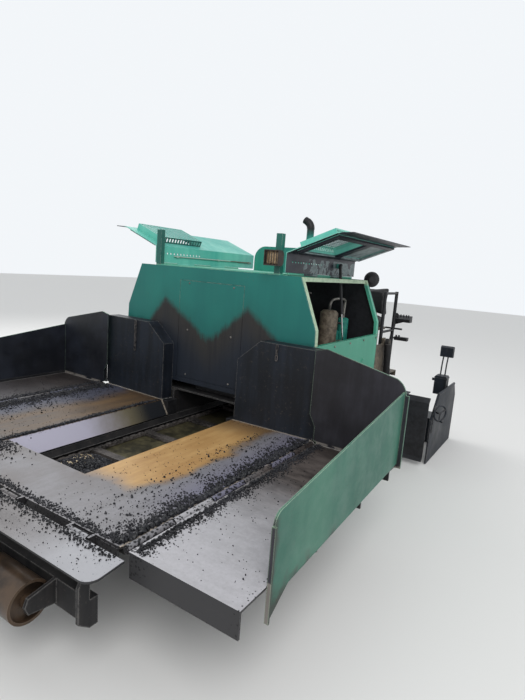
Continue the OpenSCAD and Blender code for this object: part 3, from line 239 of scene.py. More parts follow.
# %% [markdown]
# Colours are written as a painter would read them off a screen, 0 to 255, and turned into light once. They
# are named for what they are on the machine: teal paint gone chalky, plate rubbed to a tan sheen by hot
# asphalt, and blue-black soot over everything that the asphalt has touched.


# %% Colours
def tone(red, green, blue):
    """A screen colour, 0 to 255, as linear light."""
    return tuple(
        (c / 255.0 / 12.92) if c < 10 else ((c / 255.0 + 0.055) / 1.055) ** 2.4
        for c in (red, green, blue)
    )


TEAL = tone(30, 118, 108)
TEAL_SHADE = tone(24, 104, 98)
TEAL_BRIGHT = tone(58, 150, 128)
CREAM_GREEN = tone(190, 205, 175)
WORN_PALE = tone(176, 186, 172)
SOOT = tone(18, 22, 28)
SOOT_BLUE = tone(30, 36, 46)
SOOT_BROWN = tone(42, 36, 33)
TAR = tone(14, 15, 19)
STEEL_GREY = tone(104, 102, 104)
STEEL_PALE = tone(134, 132, 136)
STEEL_WHITE = tone(176, 174, 178)
TAN = tone(168, 128, 78)
TAN_LIGHT = tone(196, 158, 104)
TAN_DARK = tone(92, 72, 50)
BROWN_GREY = tone(74, 66, 60)
# The pale lilac is the sky's reflection on polished steel, painted into the colour.
SKY_REFLECTION_LILAC = tone(186, 182, 198)
OLIVE = tone(96, 90, 66)
RUST = tone(104, 60, 36)
DUST = tone(140, 128, 110)
BLACK = tone(20, 20, 22)
print("teal as light", [round(c, 3) for c in TEAL])

# %% [markdown]
# Paint that has stood outside for years is never one colour. Three things happen to it at three scales: the
# sun bleaches it in broad clouds, rain draws faint vertical streaks, and knocks leave small dark chips and
# pale worn edges. A painted picture could show that too, but it would need a flat copy of every panel;
# noise in space needs none and never repeats. One function makes all three, and every green piece uses it
# with its own colours.


# %% Green paint
def weathered(look, base, bleached, dirt=0.3, chips=0.5):
    """Adds the weather to a paint. Returns the colour and a height for the bump."""
    cloud = look.noise(1.3, 3.0)
    streak = look.noise(11.0, 4.0, 0.6, look.stretched((1.0, 1.0, 0.07)))
    speck = look.noise(150.0, 2.0, 0.6)
    colour = look.mix((cloud * 0.7 + streak * 0.3).ramp(0.38, 0.68), base, bleached)
    colour = look.mix((streak * 0.6 + speck * 0.4).ramp(0.52, 0.72) * dirt, colour, SOOT_BROWN)
    chip = look.cells(17.0).ramp(0.10, 0.05) * cloud.ramp(0.50, 0.56)
    colour = look.mix(chip * chips, colour, RUST)
    worn = look.edges(0.004) * look.noise(22.0, 3.0, 0.7).ramp(0.38, 0.58)
    colour = look.mix(worn * 0.75, colour, WORN_PALE)
    return colour, speck * 0.5 + cloud * 0.5


def green_paint(name, base=TEAL, bleached=TEAL_BRIGHT, dirt=0.3):
    look = Finish(name, Coat_Weight=0.1, Coat_Roughness=0.3, Specular_IOR_Level=0.4)
    colour, height = weathered(look, base, bleached, dirt)
    look.paint(colour, height.ramp(0.3, 0.7, 0.36, 0.52), height, 0.10, 0.001)


green_paint("green_paint")
# The hood's sides and the fuel tank get a lighter copy of the teal: painted light on the faces that the
# light falls on.
green_paint("lit_side_paint", tone(52, 142, 116), tone(76, 168, 138))
green_paint("bright_paint", tone(46, 138, 118), tone(80, 168, 146))
green_paint("dark_green", tone(20, 84, 76), tone(30, 104, 92), 0.4)
print("greens", list(FINISHES))

# %% [markdown]
# A full hopper heaps its load against the hood's front wall, and the hot smoke has left two black peaks
# there, one over each side of the conveyor. Each peak needs only its place and the slope of its two flanks,
# and noise then frays the edge and lets it run down in drips. So the soot is a formula for the height of
# its line at every x: the wall is green above the line and black below.


# %% Sooted front wall
def soot_peak(x, peak_x, peak_z, rise, fall):
    """The height of a line that climbs to a peak on one side and drops on the other."""
    return ((x - peak_x) * rise + peak_z).least((x - peak_x) * -fall + peak_z)


def sooted_front():
    look = Finish("green_paint_sooted", Coat_Weight=0.06, Coat_Roughness=0.3, Specular_IOR_Level=0.3)
    x, _, z = look.axes()
    colour, height = weathered(look, TEAL_SHADE, TEAL, 0.15, 0.2)
    fine = look.noise(26.0, 5.0, 0.65)
    drip = look.noise(30.0, 4.0, 0.6, look.stretched((1.0, 1.0, 0.10)))
    # Each peak is the lower of its two flanks; the wall is black below the higher of the peaks
    near_side = soot_peak(x, 0.350, 1.395, 0.876, 0.763)
    far_side = soot_peak(x, -0.483, 1.396, 1.21, 0.60)
    shoulder = (abs(x) * 4.0 - 1.35).least(1.176)
    line = near_side.most(far_side).most(shoulder)
    valley = abs(x - 0.012).ramp(0.30, 0.05)
    reach = line + (fine - 0.5) * 0.05 + (drip - 0.5) * (valley * 0.14 + 0.03) - z
    soot = reach.ramp(-0.040, 0.045)
    colour = look.mix(reach.ramp(-0.16, 0.0) * 0.25, colour, tone(18, 78, 74))
    black = look.mix(reach.ramp(0.02, 0.34), tone(46, 44, 42), SOOT_BLUE)
    black = look.mix(drip.ramp(0.40, 0.75) * 0.4, black, SOOT)
    colour = look.mix(soot, colour, black)
    look.paint(colour, soot * 0.14 + 0.40, height * 0.3 + fine * soot, 0.2, 0.0015)


sooted_front()
print("soot nodes", len(FINISHES["green_paint_sooted"].tree.nodes))

# %% [markdown]
# A wing's wall is one plate with two faces: green outside and behind, and black inside, where the load rubs
# on it. It could be cut into two pieces with two materials, but the bright worn edge between them belongs
# to both. So one material asks each point which way it faces, and picks its colour by that.


# %% Wing walls
def wing_wall_paint():
    look = Finish("wing_wall_paint", Coat_Roughness=0.3, Specular_IOR_Level=0.35)
    x, y, z = look.axes()
    nx, ny, nz = look.facing()
    green, height = weathered(look, tone(50, 98, 84), tone(66, 118, 100), 0.35, 0.8)
    lighter = look.noise(4.0, 2.0, 0.5, look.stretched((1.0, 1.0, 0.03))).ramp(0.45, 0.75)
    green = look.mix(lighter * 0.35, green, tone(92, 142, 120))
    rough = look.noise(9.0, 4.0, 0.6)
    # Scraped and tarred along the foot and the front edge
    foot = (z + (rough - 0.5) * 0.22 + y * 0.062).ramp(0.475, 0.395)
    nose = (y + (rough - 0.5) * 0.12).ramp(-1.85, -1.90)
    green = look.mix(foot.most(nose) * 0.85, green, SOOT_BROWN)
    drip = look.noise(18.0, 4.0, 0.6, look.stretched((1.0, 1.0, 0.16)))
    cloud = look.noise(2.2, 4.0, 0.6)
    black = look.mix((cloud * 0.7 + drip * 0.3).ramp(0.36, 0.66), tone(30, 29, 33), tone(50, 49, 56))
    black = look.mix(x.ramp(-0.5, -1.0) * 0.7, black, look.mix(cloud.ramp(0.4, 0.6), SOOT, SOOT_BLUE))
    foot_line = z.ramp(0.598, 0.590) * rough.ramp(0.38, 0.50)
    black = look.mix(foot_line * 0.8, black, tone(128, 122, 116))
    out = (abs(x) * nx.math("SIGN") * x.math("SIGN")).ramp(0.2, 0.4) * abs(nx).ramp(0.3, 0.6)
    out = out.most(ny.ramp(0.3, 0.6)).most(nz.ramp(0.4, 0.7) * 0.8)
    worn = look.edges(0.008, 0.01, 0.12) * rough.ramp(0.30, 0.48)
    colour = look.mix(out, black, green)
    lip = nz.ramp(0.1, 0.5).most(ny.ramp(-0.4, -0.7) * 0.5)
    colour = look.mix(worn * lip * 0.9, colour, tone(150, 176, 150))
    look.paint(colour, rough.ramp(0.3, 0.7, 0.38, 0.55), height * 0.3 + drip * 0.7, 0.15, 0.0015)


wing_wall_paint()
print("wing wall nodes", len(FINISHES["wing_wall_paint"].tree.nodes))

# %% [markdown]
# The engine's doors are the brightest green on the machine outside, because light from the sky is painted
# into their outer green. Their inner side, which the open doors show, is pale in its fields and black with
# grease along its borders. A door is bent sheet, so facing alone can't tell its two sides apart; how far a
# point lies below the sloping panel can.


# %% Doors
def door_paint():
    look = Finish("door_paint", Coat_Weight=0.1, Coat_Roughness=0.3, Specular_IOR_Level=0.4)
    x, y, z = look.axes()
    nx, _, nz = look.facing()
    # The outer green is a brighter copy of the teal: painted light from the sky that the doors face.
    green, height = weathered(look, tone(74, 172, 158), tone(128, 208, 190), 0.2)
    side = abs(x)
    grease = look.noise(13.0, 4.0, 0.65)
    pale = look.mix(grease.ramp(0.35, 0.70), tone(150, 165, 166), tone(96, 112, 114))
    window = side.band(0.71, 0.93, 0.012) * y.band(-0.195, 0.325, 0.012)
    rear = side.band(0.70, 0.95, 0.03) * y.band(0.44, 0.90, 0.03)
    strip = z.ramp(1.80, 1.78) * y.ramp(-0.2, 0.1)
    field = (window.most(rear).most(strip * grease.ramp(0.4, 0.6)) + (grease - 0.5) * 0.4).ramp(0.35, 0.65)
    inner = look.mix(field, tone(26, 30, 42), pale)
    # How far a point lies above the sloping panel; what lies below it is the door's inner side
    above = z - 1.810 - (side - 0.632) * 0.392
    inward = (nz.ramp(-0.15, -0.45)).most(side.ramp(0.646, 0.640) * (nx * x.math("SIGN")).ramp(0.3, 0.6))
    inward = inward.most(above.ramp(-0.003, -0.006) * side.ramp(0.650, 0.656))
    inward = inward.most(window * above.ramp(0.030, 0.036) * nz.ramp(0.8, 0.6))
    colour = look.mix(inward, green, inner)
    # The latch rod's rear fitting has rusted
    rod = side.band(0.608, 0.6225, 0.002) * z.band(1.725, 1.741, 0.003)
    colour = look.mix(rod * y.ramp(0.70, 0.74) * 0.8, colour, RUST)
    colour = look.mix(rod * y.ramp(0.74, 0.70) * 0.8, colour, tone(176, 178, 170))
    look.paint(colour, grease.ramp(0.3, 0.7, 0.35, 0.50), height, 0.12, 0.001)


door_paint()
print("door nodes", len(FINISHES["door_paint"].tree.nodes))

# %% [markdown]
# Soot is the colour of everything inside the hopper that stands upright. It is not plain black: it dries in
# vertical runs, blue where it is thin and smooth and brown where dust sticks to it, and it is rubbed off
# along the edges.


# %% Soot plate
def soot_plate(name, low=SOOT, high=SOOT_BLUE, edge=tone(112, 110, 108), gloss=0.5):
    look = Finish(name, Specular_IOR_Level=0.3)
    cloud = look.noise(2.6, 5.0, 0.6)
    fine = look.noise(45.0, 5.0, 0.7)
    drip = look.noise(17.0, 4.0, 0.6, look.stretched((1.0, 1.0, 0.10)))
    colour = look.mix((cloud * 0.4 + drip * 0.6).ramp(0.36, 0.66), low, high)
    colour = look.mix(fine.ramp(0.58, 0.70) * 0.5, colour, BROWN_GREY)
    worn = look.edges(0.009, 0.01, 0.12) * fine.ramp(0.34, 0.50)
    colour = look.mix(worn * 0.8, colour, edge)
    roughness = cloud.ramp(0.3, 0.7, gloss - 0.08, gloss + 0.15)
    look.paint(colour, roughness, fine * 0.5 + cloud * 0.5, 0.30, 0.003)


soot_plate("soot_plate")
soot_plate("frame_paint", tone(24, 24, 26), tone(44, 42, 42), gloss=0.6)
print("finishes so far", len(FINISHES))

# %% [markdown]
# The floor of the hopper tells how the machine works. Hot asphalt slides down it to the conveyor and rubs a
# tan patch near the chute; further out the plate is bare grey, scraped lengthways; and along every seam tar
# and crumbs collect. The right half was left dirtier than the left one, so the finish knows the side it is
# on.

# %% Hopper floor
CREASE_X, HINGE_X = 0.360, 1.018


def speckled(look, amount, scale):
    """Crumbs that are too flat to model: 1 on them, 0 between. The amount says how thick they lie."""
    return (amount * 0.46 - look.cells(scale)).ramp(-0.03, 0.03)


def hopper_plate():
    look = Finish("worn_plate", Metallic=0.1, Specular_IOR_Level=0.35)
    x, y, z = look.axes()
    up = look.facing()[2]
    cloud = look.noise(2.3, 5.0, 0.6)
    fine = look.noise(70.0, 4.0, 0.7)
    scrape = look.noise(16.0, 5.0, 0.7, look.stretched((1.0, 0.16, 1.0)))
    wander = cloud - 0.5
    side = abs(x)
    grey = look.mix((scrape * 0.6 + fine * 0.4).ramp(0.30, 0.70), STEEL_GREY, STEEL_PALE)
    grey = look.mix(side.ramp(0.80, 0.40) * cloud.ramp(0.30, 0.60) * 0.6, grey, tone(92, 84, 80))
    grey = look.mix(side.ramp(0.72, 0.98) * y.ramp(-1.9, -1.5), grey, tone(112, 110, 126))
    # The tan patch: its front edge is round, its outer edge dark brown, and it reaches the wall
    reach = (y + wander * 0.35).ramp(-1.74, -1.58)
    inside = (side + (wander * 0.35 - (y + 1.1) * 0.05)).ramp(0.80, 0.70)
    patch = reach * inside * (side.ramp(0.36, 0.30) * y.ramp(-1.70, -1.76)).ramp(0.5, 0.4)
    warm = look.mix((scrape * 0.5 + cloud * 0.5).ramp(0.35, 0.65), TAN, TAN_LIGHT)
    warm = look.mix((y + wander * 0.3).ramp(-0.80, -0.45) * 0.8, warm, TAN_DARK)
    warm = look.mix((side + wander * 0.35).ramp(0.66, 0.76) * 0.7, warm, TAN_DARK)
    colour = look.mix(patch, grey, warm)
    # The right half is brown near the crease, and blue-grey under crumbs near the hinge
    dull = look.mix((scrape * 0.6 + cloud * 0.4).ramp(0.3, 0.7), tone(50, 42, 36), tone(98, 76, 52))
    dull = look.mix((side + wander * 0.4).ramp(0.66, 0.86), dull, tone(66, 68, 82))
    dull = look.mix(y.ramp(-1.55, -1.85) * 0.6, dull, tone(72, 66, 62))
    right_half = x.ramp(0.02 - CREASE_X, -CREASE_X)
    colour = look.mix(right_half * 0.95, colour, dull)
    # The chute is polished in front, with a painted reflection of the sky in pale lilac, and black behind
    chute = side.ramp(CREASE_X + 0.004, CREASE_X - 0.002) * z.ramp(0.567, 0.562) * y.ramp(-1.735, -1.725)
    polish_and_reflection = look.mix((y + wander * 0.5).ramp(-1.25, -0.80), SKY_REFLECTION_LILAC, tone(112, 104, 84))
    polish_and_reflection = look.mix(y.ramp(-0.85, -0.60), polish_and_reflection, tone(36, 38, 42))
    colour = look.mix(chute, colour, polish_and_reflection)
    # Tar and flat crumbs along the seams and the walls
    hinge = (side + wander * 0.3).ramp(0.74, 1.03)
    front = (y + wander * 0.12).ramp(-1.98, -2.06)
    crease = side.band(0.352, 0.395, 0.016) * right_half
    lies = hinge.most(y.ramp(-0.56, -0.44) * 0.7).most(front * 0.7).most(crease * 1.3)
    lies = lies.most(fine.ramp(0.62, 0.76) * 0.25)
    crumbs = speckled(look, lies + (fine - 0.5) * 0.4, 62.0)
    colour = look.mix(crumbs * (1.0 - chute * 0.7) * 0.94, colour, TAR)
    # Pale lines where the plate is rubbed bare: at the foot of the wall and along the hinge
    hinge_line = side.ramp(HINGE_X - 0.006, HINGE_X - 0.001) * side.ramp(HINGE_X + 0.012, HINGE_X + 0.006)
    line = y.ramp(-0.450, -0.444).most(hinge_line)
    colour = look.mix(line * fine.ramp(0.36, 0.48) * 0.8, colour, tone(164, 152, 138))
    # Faces that don't face up, the plate's edges and underside, are darkened to near black: painted shade.
    under = up.ramp(0.35, 0.15) * (1.0 - chute)
    colour = look.mix(under * 0.92, colour, tone(26, 25, 27))
    roughness = (fine * 0.3 + scrape * 0.2 + crumbs * 0.2 - chute * 0.12) + 0.20
    look.paint(colour, roughness, fine * 0.3 + scrape * 0.2 + crumbs * 0.8, 0.3, 0.003)


hopper_plate()
print("floor nodes", len(FINISHES["worn_plate"].tree.nodes))

# %% [markdown]
# The wings are rubbed less than the floor. Their plates stay pale in front and go brown towards the rear,
# and the scrapes run slantwise, the way the load slides when a wing folds up. The underside and the edges
# are darkened to black as painted shade. The apron in front is a plain grey plate with crumbs along its
# hinge, with the same painted shade on its underside and edges.


# %% Wing and apron plates
def wing_plate():
    look = Finish("wing_plate", Metallic=0.15, Specular_IOR_Level=0.35)
    x, y, _ = look.axes()
    cloud = look.noise(2.0, 5.0, 0.6)
    fine = look.noise(70.0, 4.0, 0.7)
    up = look.facing()[2]
    scrape = look.noise(15.0, 5.0, 0.7, look.stretched((0.3, 1.0, 1.0), (0.0, 0.0, 0.4)))
    wander = cloud - 0.5
    pale = look.mix((scrape * 0.5 + fine * 0.5).ramp(0.32, 0.68), tone(158, 156, 159), STEEL_WHITE)
    dark = look.mix(scrape.ramp(0.32, 0.68), tone(58, 52, 50), tone(96, 88, 84))
    colour = look.mix((y + wander * 0.7 + x * 0.1).ramp(-1.62, -0.90), pale, dark)
    colour = look.mix(y.ramp(-0.75, -0.50) * 0.7, colour, SOOT_BROWN)
    colour = look.mix(x.ramp(0.0, -1.0) * 0.70, colour, tone(48, 44, 44))
    hinge = (abs(x) + wander * 0.2).ramp(1.24, 1.09)
    wall = abs(x).ramp(1.52, 1.60)
    lies = (hinge * 0.8).most(wall * 0.5).most(fine.ramp(0.60, 0.75) * 0.3)
    crumbs = speckled(look, lies + (fine - 0.5) * 0.4, 62.0)
    colour = look.mix(crumbs * 0.9, colour, TAR)
    line = y.ramp(-0.484, -0.478).most(abs(x).ramp(1.582, 1.588) * x.ramp(0.0, -0.5))
    colour = look.mix(line * fine.ramp(0.36, 0.48) * 0.8, colour, tone(150, 146, 142))
    # Painted shade: faces that don't face up, the underside and the edges, are darkened to near black.
    colour = look.mix(up.ramp(0.5, 0.3) * 0.94, colour, tone(24, 24, 26))
    roughness = (fine * 0.3 + scrape * 0.2 + crumbs * 0.2) + 0.20
    look.paint(colour, roughness, fine * 0.4 + scrape * 0.2 + crumbs * 0.8, 0.25, 0.003)


def apron_plate():
    look = Finish("apron_plate", Metallic=0.15, Specular_IOR_Level=0.35)
    x, y, _ = look.axes()
    cloud = look.noise(3.0, 5.0, 0.6)
    fine = look.noise(80.0, 4.0, 0.7)
    scrape = look.noise(14.0, 5.0, 0.65, look.stretched((0.12, 1.0, 1.0)))
    up = look.facing()[2]
    grey = look.mix((scrape * 0.5 + fine * 0.5).ramp(0.32, 0.68), tone(84, 80, 80), tone(116, 112, 112))
    colour = look.mix((abs(x) + (cloud - 0.5) * 0.5).ramp(0.45, 0.95), grey, tone(150, 150, 154))
    lies = (y + (cloud - 0.5) * 0.08).ramp(-2.17, -2.10) * 0.8
    crumbs = speckled(look, lies.most(0.22) + (fine - 0.5) * 0.4, 75.0)
    colour = look.mix(crumbs * 0.9, colour, TAR)
    # Painted shade: the apron's underside and edges are darkened to near black.
    colour = look.mix(up.ramp(0.4, 0.1) * 0.94, colour, tone(24, 24, 26))
    look.paint(colour, (fine * 0.3 + crumbs * 0.2) + 0.28, fine * 0.4 + crumbs * 0.6, 0.25, 0.002)


wing_plate()
apron_plate()
print("plates", [name for name in FINISHES if name.endswith("plate")])

# %% [markdown]
# The plainer finishes differ only in their two colours, their roughness and how coarse their dirt is, so
# one function makes them all and a list says what sets each of them apart. Where a finish has an edge
# colour, its paint is rubbed through along the edges.


# %% Plain finishes
def plain_metal(name, low, high, roughness, metallic=0.0, bump=0.2, scale=30.0, edge=None):
    look = Finish(name, Metallic=metallic, Specular_IOR_Level=0.35)
    cloud = look.noise(3.0, 4.0)
    fine = look.noise(scale, 5.0, 0.7)
    colour = look.mix((cloud * 0.5 + fine * 0.5).ramp(0.38, 0.62), low, high)
    if edge:
        colour = look.mix(look.edges(0.004) * fine.ramp(0.4, 0.6) * 0.7, colour, edge)
    look.paint(colour, fine * 0.2 + (roughness - 0.1), fine, bump, 0.0015)


for name, low, high, roughness, rest in (
    ("conveyor_plate", tone(44, 42, 34), OLIVE, 0.38, {"metallic": 0.1, "bump": 0.25, "scale": 22.0}),
    ("chain_steel", tone(34, 32, 32), tone(108, 102, 98), 0.45,
     {"metallic": 0.2, "bump": 0.3, "scale": 60.0, "edge": STEEL_PALE}),
    ("black_paint", BLACK, tone(40, 40, 44), 0.45, {"edge": tone(90, 90, 92)}),
    ("engine_paint", tone(38, 40, 42), tone(78, 76, 74), 0.5, {"edge": tone(130, 126, 120)}),
    ("lamp_housing", tone(26, 24, 24), tone(62, 52, 44), 0.5, {"edge": tone(120, 110, 98)}),
    ("deck_paint", tone(70, 64, 58), tone(128, 116, 98), 0.6, {"edge": tone(150, 144, 130)}),
    ("seat_vinyl", BLACK, tone(40, 40, 42), 0.5, {"bump": 0.35, "scale": 160.0}),
    ("black_plastic", BLACK, tone(40, 40, 42), 0.45, {"edge": tone(84, 84, 86)}),
    ("track_rubber", tone(32, 31, 30), DUST, 0.8, {"bump": 0.5, "scale": 16.0}),
    ("rod_chrome", tone(190, 190, 190), tone(208, 208, 206), 0.22, {"metallic": 1.0, "bump": 0.02}),
    ("roller_steel", tone(22, 20, 20), tone(78, 62, 48), 0.36,
     {"metallic": 0.1, "bump": 0.3, "scale": 9.0, "edge": tone(120, 104, 88)}),
    ("auger_iron", BLACK, tone(84, 80, 76), 0.55, {"metallic": 0.2, "bump": 0.4}),
    ("asphalt", tone(10, 11, 14), tone(38, 38, 44), 0.42, {"bump": 0.3, "scale": 90.0}),
    ("pale_stone", tone(170, 146, 112), tone(214, 198, 168), 0.6, {"bump": 0.3}),
    ("bolt_steel", tone(70, 68, 66), tone(150, 146, 140), 0.4, {"metallic": 0.6}),
    ("lamp_glass", tone(136, 112, 84), tone(190, 166, 130), 0.16, {}),
    ("mirror_glass", tone(196, 200, 204), tone(208, 212, 216), 0.12, {"metallic": 1.0, "bump": 0.0}),
):
    plain_metal(name, low, high, roughness, **rest)
print("finishes so far", len(FINISHES))

# %% [markdown]
# Three finishes change from place to place. The engine's fittings are one piece of the frame, but a filter
# is green, a hose is black and a duct is grey; each stands at its own place, so a box in space picks its
# colour. The exhaust rusts at its foot and is black at its mouth. The hood's frame is cream on its front
# posts and bright green behind.


# %% Engine bay, exhaust and hood frame
def bay_fittings():
    look = Finish("fitting_paint", Specular_IOR_Level=0.4)
    x, y, z = look.axes()
    fine = look.noise(30.0, 4.0, 0.65)
    colour = look.mix(fine.ramp(0.35, 0.65), tone(88, 78, 68), tone(132, 120, 104))
    filters = x.band(0.54, 0.70, 0.005) * y.band(0.64, 0.84, 0.005) * z.ramp(1.10, 1.12)
    colour = look.mix(filters, colour, look.mix(fine.ramp(0.4, 0.7), TEAL, TEAL_BRIGHT))
    hose = x.band(0.44, 0.68, 0.01) * y.band(0.04, 0.30, 0.01) * z.ramp(0.70, 0.72)
    colour = look.mix(hose, colour, look.mix(fine.ramp(0.4, 0.7), BLACK, tone(70, 70, 74)))
    duct = x.band(0.10, 0.44, 0.02) * z.ramp(1.38, 1.42)
    colour = look.mix(duct, colour, tone(120, 124, 132))
    low = z.ramp(1.02, 0.85)
    colour = look.mix(low * 0.8, colour, tone(34, 33, 34))
    fan = y.ramp(-0.09, -0.11)
    colour = look.mix(fan, colour, BLACK)
    colour = look.mix(look.edges(0.003) * fine.ramp(0.4, 0.6) * 0.7, colour, tone(170, 166, 158))
    look.paint(colour, fine * 0.25 + 0.35, fine, 0.2, 0.0015)


def stack_paint():
    look = Finish("exhaust_paint", Specular_IOR_Level=0.35)
    z = look.axes()[2]
    colour, height = weathered(look, TEAL, TEAL_BRIGHT, 0.4)
    rough = look.noise(20.0, 4.0, 0.65)
    colour = look.mix((z + (rough - 0.5) * 0.12).ramp(1.99, 2.08), colour, BLACK)
    colour = look.mix((z + (rough - 0.5) * 0.10).ramp(1.74, 1.68) * 0.7, colour, RUST)
    look.paint(colour, rough * 0.2 + 0.40, height, 0.2, 0.001)


def pale_frame():
    look = Finish("pale_paint", Specular_IOR_Level=0.4)
    x, y, z = look.axes()
    green, height = weathered(look, tone(60, 150, 126), tone(96, 182, 154), 0.25)
    cream = look.mix(look.noise(24.0, 4.0, 0.65).ramp(0.4, 0.7), CREAM_GREEN, tone(150, 170, 140))
    front = y.ramp(-0.20, -0.24) * z.ramp(1.648, 1.640)
    edge = abs(x).ramp(0.742, 0.752) * z.ramp(1.60, 1.63)
    colour = look.mix(front.most(edge) * 0.85, green, cream)
    look.paint(colour, 0.42, height, 0.12, 0.001)


bay_fittings()
stack_paint()
pale_frame()
print("finishes so far", len(FINISHES))

# %% [markdown]
# The frame knows a material slot for each of its nodes, and most slots have a finish of the same name. The
# nodes below look different from the rest of their slot, so they are named with a finish of their own.

# %% Finish the frame's own nodes
SPECIAL = {
    "hood_front": "green_paint_sooted",
    "access_panel": "green_paint_sooted",
    "hood_sides": "lit_side_paint",
    "air_cleaner": "bright_paint",
    "fuel_tank": "lit_side_paint",
    "tow_arms": "dark_green",
    "lamp_posts": "dark_green",
    "wing_floor_left": "wing_plate",
    "wing_floor_right": "wing_plate",
    "wing_wall_left": "wing_wall_paint",
    "wing_wall_right": "wing_wall_paint",
    "door_left": "door_paint",
    "door_right": "door_paint",
    "apron": "apron_plate",
    "conveyor_deck": "conveyor_plate",
    "chain_guards": "frame_paint",
}
slot_of = {part["node"]: part["material_slot"] for part in frame["record"]["subparts"]}
for name, piece in nodes.items():
    finish = FINISHES[SPECIAL.get(name, slot_of[name])]
    piece.data.materials.clear()
    piece.data.materials.append(finish.material)
print("dressed", len(nodes))

# %% [markdown]
# The machine stands on a plain pale floor. A backdrop that bends up behind it would hide the horizon, but
# it would stand in the way of views from other sides.

# %% Floor
FLOOR_HALF = 30.0
floor_mesh = bmesh.new()
bmesh.ops.create_grid(floor_mesh, x_segments=1, y_segments=1, size=FLOOR_HALF)
floor = stand("floor", shape(floor_mesh, "floor"))
floor_finish = Finish("floor", Base_Color=(0.78, 0.77, 0.75), Roughness=0.9)
floor.data.materials.append(floor_finish.material)
print("floor", 2 * FLOOR_HALF, "m wide")

# %% [markdown]
# The sky looks white to the camera and in reflections, while it lights the machine at a plainer level, so
# that colours come out as they are written and the floor keeps the shadow. Light Path says what kind of ray
# asks: the camera's, a reflected one and one through glass get the white, and all others the plain level.

# %% Sky
SKY_STRENGTH, SKY_SEEN = 0.78, 0.95
world = bpy.data.worlds.new("sky")
bpy.context.scene.world = world
world.use_nodes = True
sky = world.node_tree
background = sky.nodes["Background"]
path = sky.nodes.new("ShaderNodeLightPath")
seen = path.outputs["Is Camera Ray"]
for kind in ("Is Glossy Ray", "Is Transmission Ray"):
    either = sky.nodes.new("ShaderNodeMath")
    either.operation = "MAXIMUM"
    sky.links.new(seen, either.inputs[0])
    sky.links.new(path.outputs[kind], either.inputs[1])
    seen = either.outputs[0]
strength = sky.nodes.new("ShaderNodeMix")
sky.links.new(seen, strength.inputs["Factor"])
strength.inputs["A"].default_value = SKY_STRENGTH
strength.inputs["B"].default_value = SKY_SEEN
sky.links.new(strength.outputs[0], background.inputs["Strength"])
background.inputs["Color"].default_value = (0.94, 0.97, 1.0, 1.0)
print("sky", SKY_STRENGTH, "seen as", SKY_SEEN)

# %% [markdown]
# Two large lamps give the sky a direction: the key from behind the camera, and a weaker fill from beyond
# the machine. A sun would be simpler, but its shadows are hard, while large discs cast soft ones, as a
# bright overcast day does.


# %% Lamps
def soft_lamp(name, place, target, size, power):
    data = bpy.data.lights.new(name, "AREA")
    data.shape = "DISK"
    data.size = size
    data.energy = power
    lamp = stand(name, data)
    lamp.location = place
    lamp.rotation_mode = "QUATERNION"
    lamp.rotation_quaternion = (Vector(target) - Vector(place)).to_track_quat("-Z", "Y")


soft_lamp("key", (5.0, -6.0, 7.0), (0.0, 0.0, 0.6), 5.0, 380.0)
soft_lamp("fill", (-6.0, 2.0, 6.0), (0.0, 0.0, 0.8), 6.0, 200.0)
print("lights ready")

# %% [markdown]
# Every new piece is finished in the same three steps: its mesh becomes an object at the origin, the object
# gets its finish, and it is told which body of the machine it moves with. Many pieces are one small shape
# repeated, such as a stone or a bolt, so a second helper sets copies of a shape into one mesh.


# %% Helpers for new pieces
def keep(mesh, name, body, finish, smooth=False):
    """A finished piece of an edited mesh, riding on a body."""
    piece = stand(name, shape(mesh, name))
    for face in piece.data.polygons:
        face.use_smooth = smooth
    piece.data.materials.append(FINISHES[finish].material)
    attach(piece, body)
    return piece


def repeated(shapes, places):
    """One mesh with a copy of a shape at each place. A place is a matrix."""
    mesh = bmesh.new()
    for i, place in enumerate(places):
        copy = shapes[i % len(shapes)].copy()
        copy.transform(place)
        mesh.from_mesh(copy)
        bpy.data.meshes.remove(copy)
    return mesh


def towards(place, direction, size=1.0, turn=0.0):
    """A matrix that puts a shape at a place, with its Z along a direction."""
    aim = Vector(direction).to_track_quat("Z", "Y").to_matrix().to_4x4()
    return Matrix.Translation(place) @ aim @ Matrix.Rotation(turn, 4, "Z") @ Matrix.Scale(size, 4)


# %% [markdown]
# Crumbs of asphalt lie wherever the plates meet. A crumb is a stone with a skin of tar, so it starts as the
# roundest shape with few faces and has its corners pushed in and out by chance. Each one is dropped on the
# real surface below it, found by looking straight down on the node, and it rides on that node's body, so it
# folds up with its plate. The stones could be poured by simulation instead, but dropping them straight down
# takes a moment and says exactly where they lie thick.

# %% Stones
dice = random.Random(11)
stones = []
for i in range(8):
    stone = bmesh.new()
    bmesh.ops.create_icosphere(stone, subdivisions=1, radius=1.0)
    for corner in stone.verts:
        corner.co *= dice.uniform(0.7, 1.15)
    stones.append(shape(stone, f"stone_{i}"))
print("stones", len(stones), "with", len(stones[0].polygons), "faces each")

# %% [markdown]
# A stone needs ground to lie on. A ray sent straight down from above the plates finds the height of the
# surface, and where the ray meets nothing there is no stone. Two small functions draw the places: one thick
# along a seam and thin away from it, and one even over a rectangle. Particles could scatter the stones as
# well, but they would spread over whole faces and know nothing of the seams.

# %% Dropping crumbs
DROP_FROM, DROP = 0.66, 0.32
FULL_TURN = 6.28


def tumbled():
    return Euler((dice.uniform(0, FULL_TURN), dice.uniform(0, FULL_TURN), 0.0))


def surface_of(name):
    mesh = bmesh.new()
    mesh.from_mesh(nodes[name].data)
    tree = BVHTree.FromBMesh(mesh)
    mesh.free()
    return tree


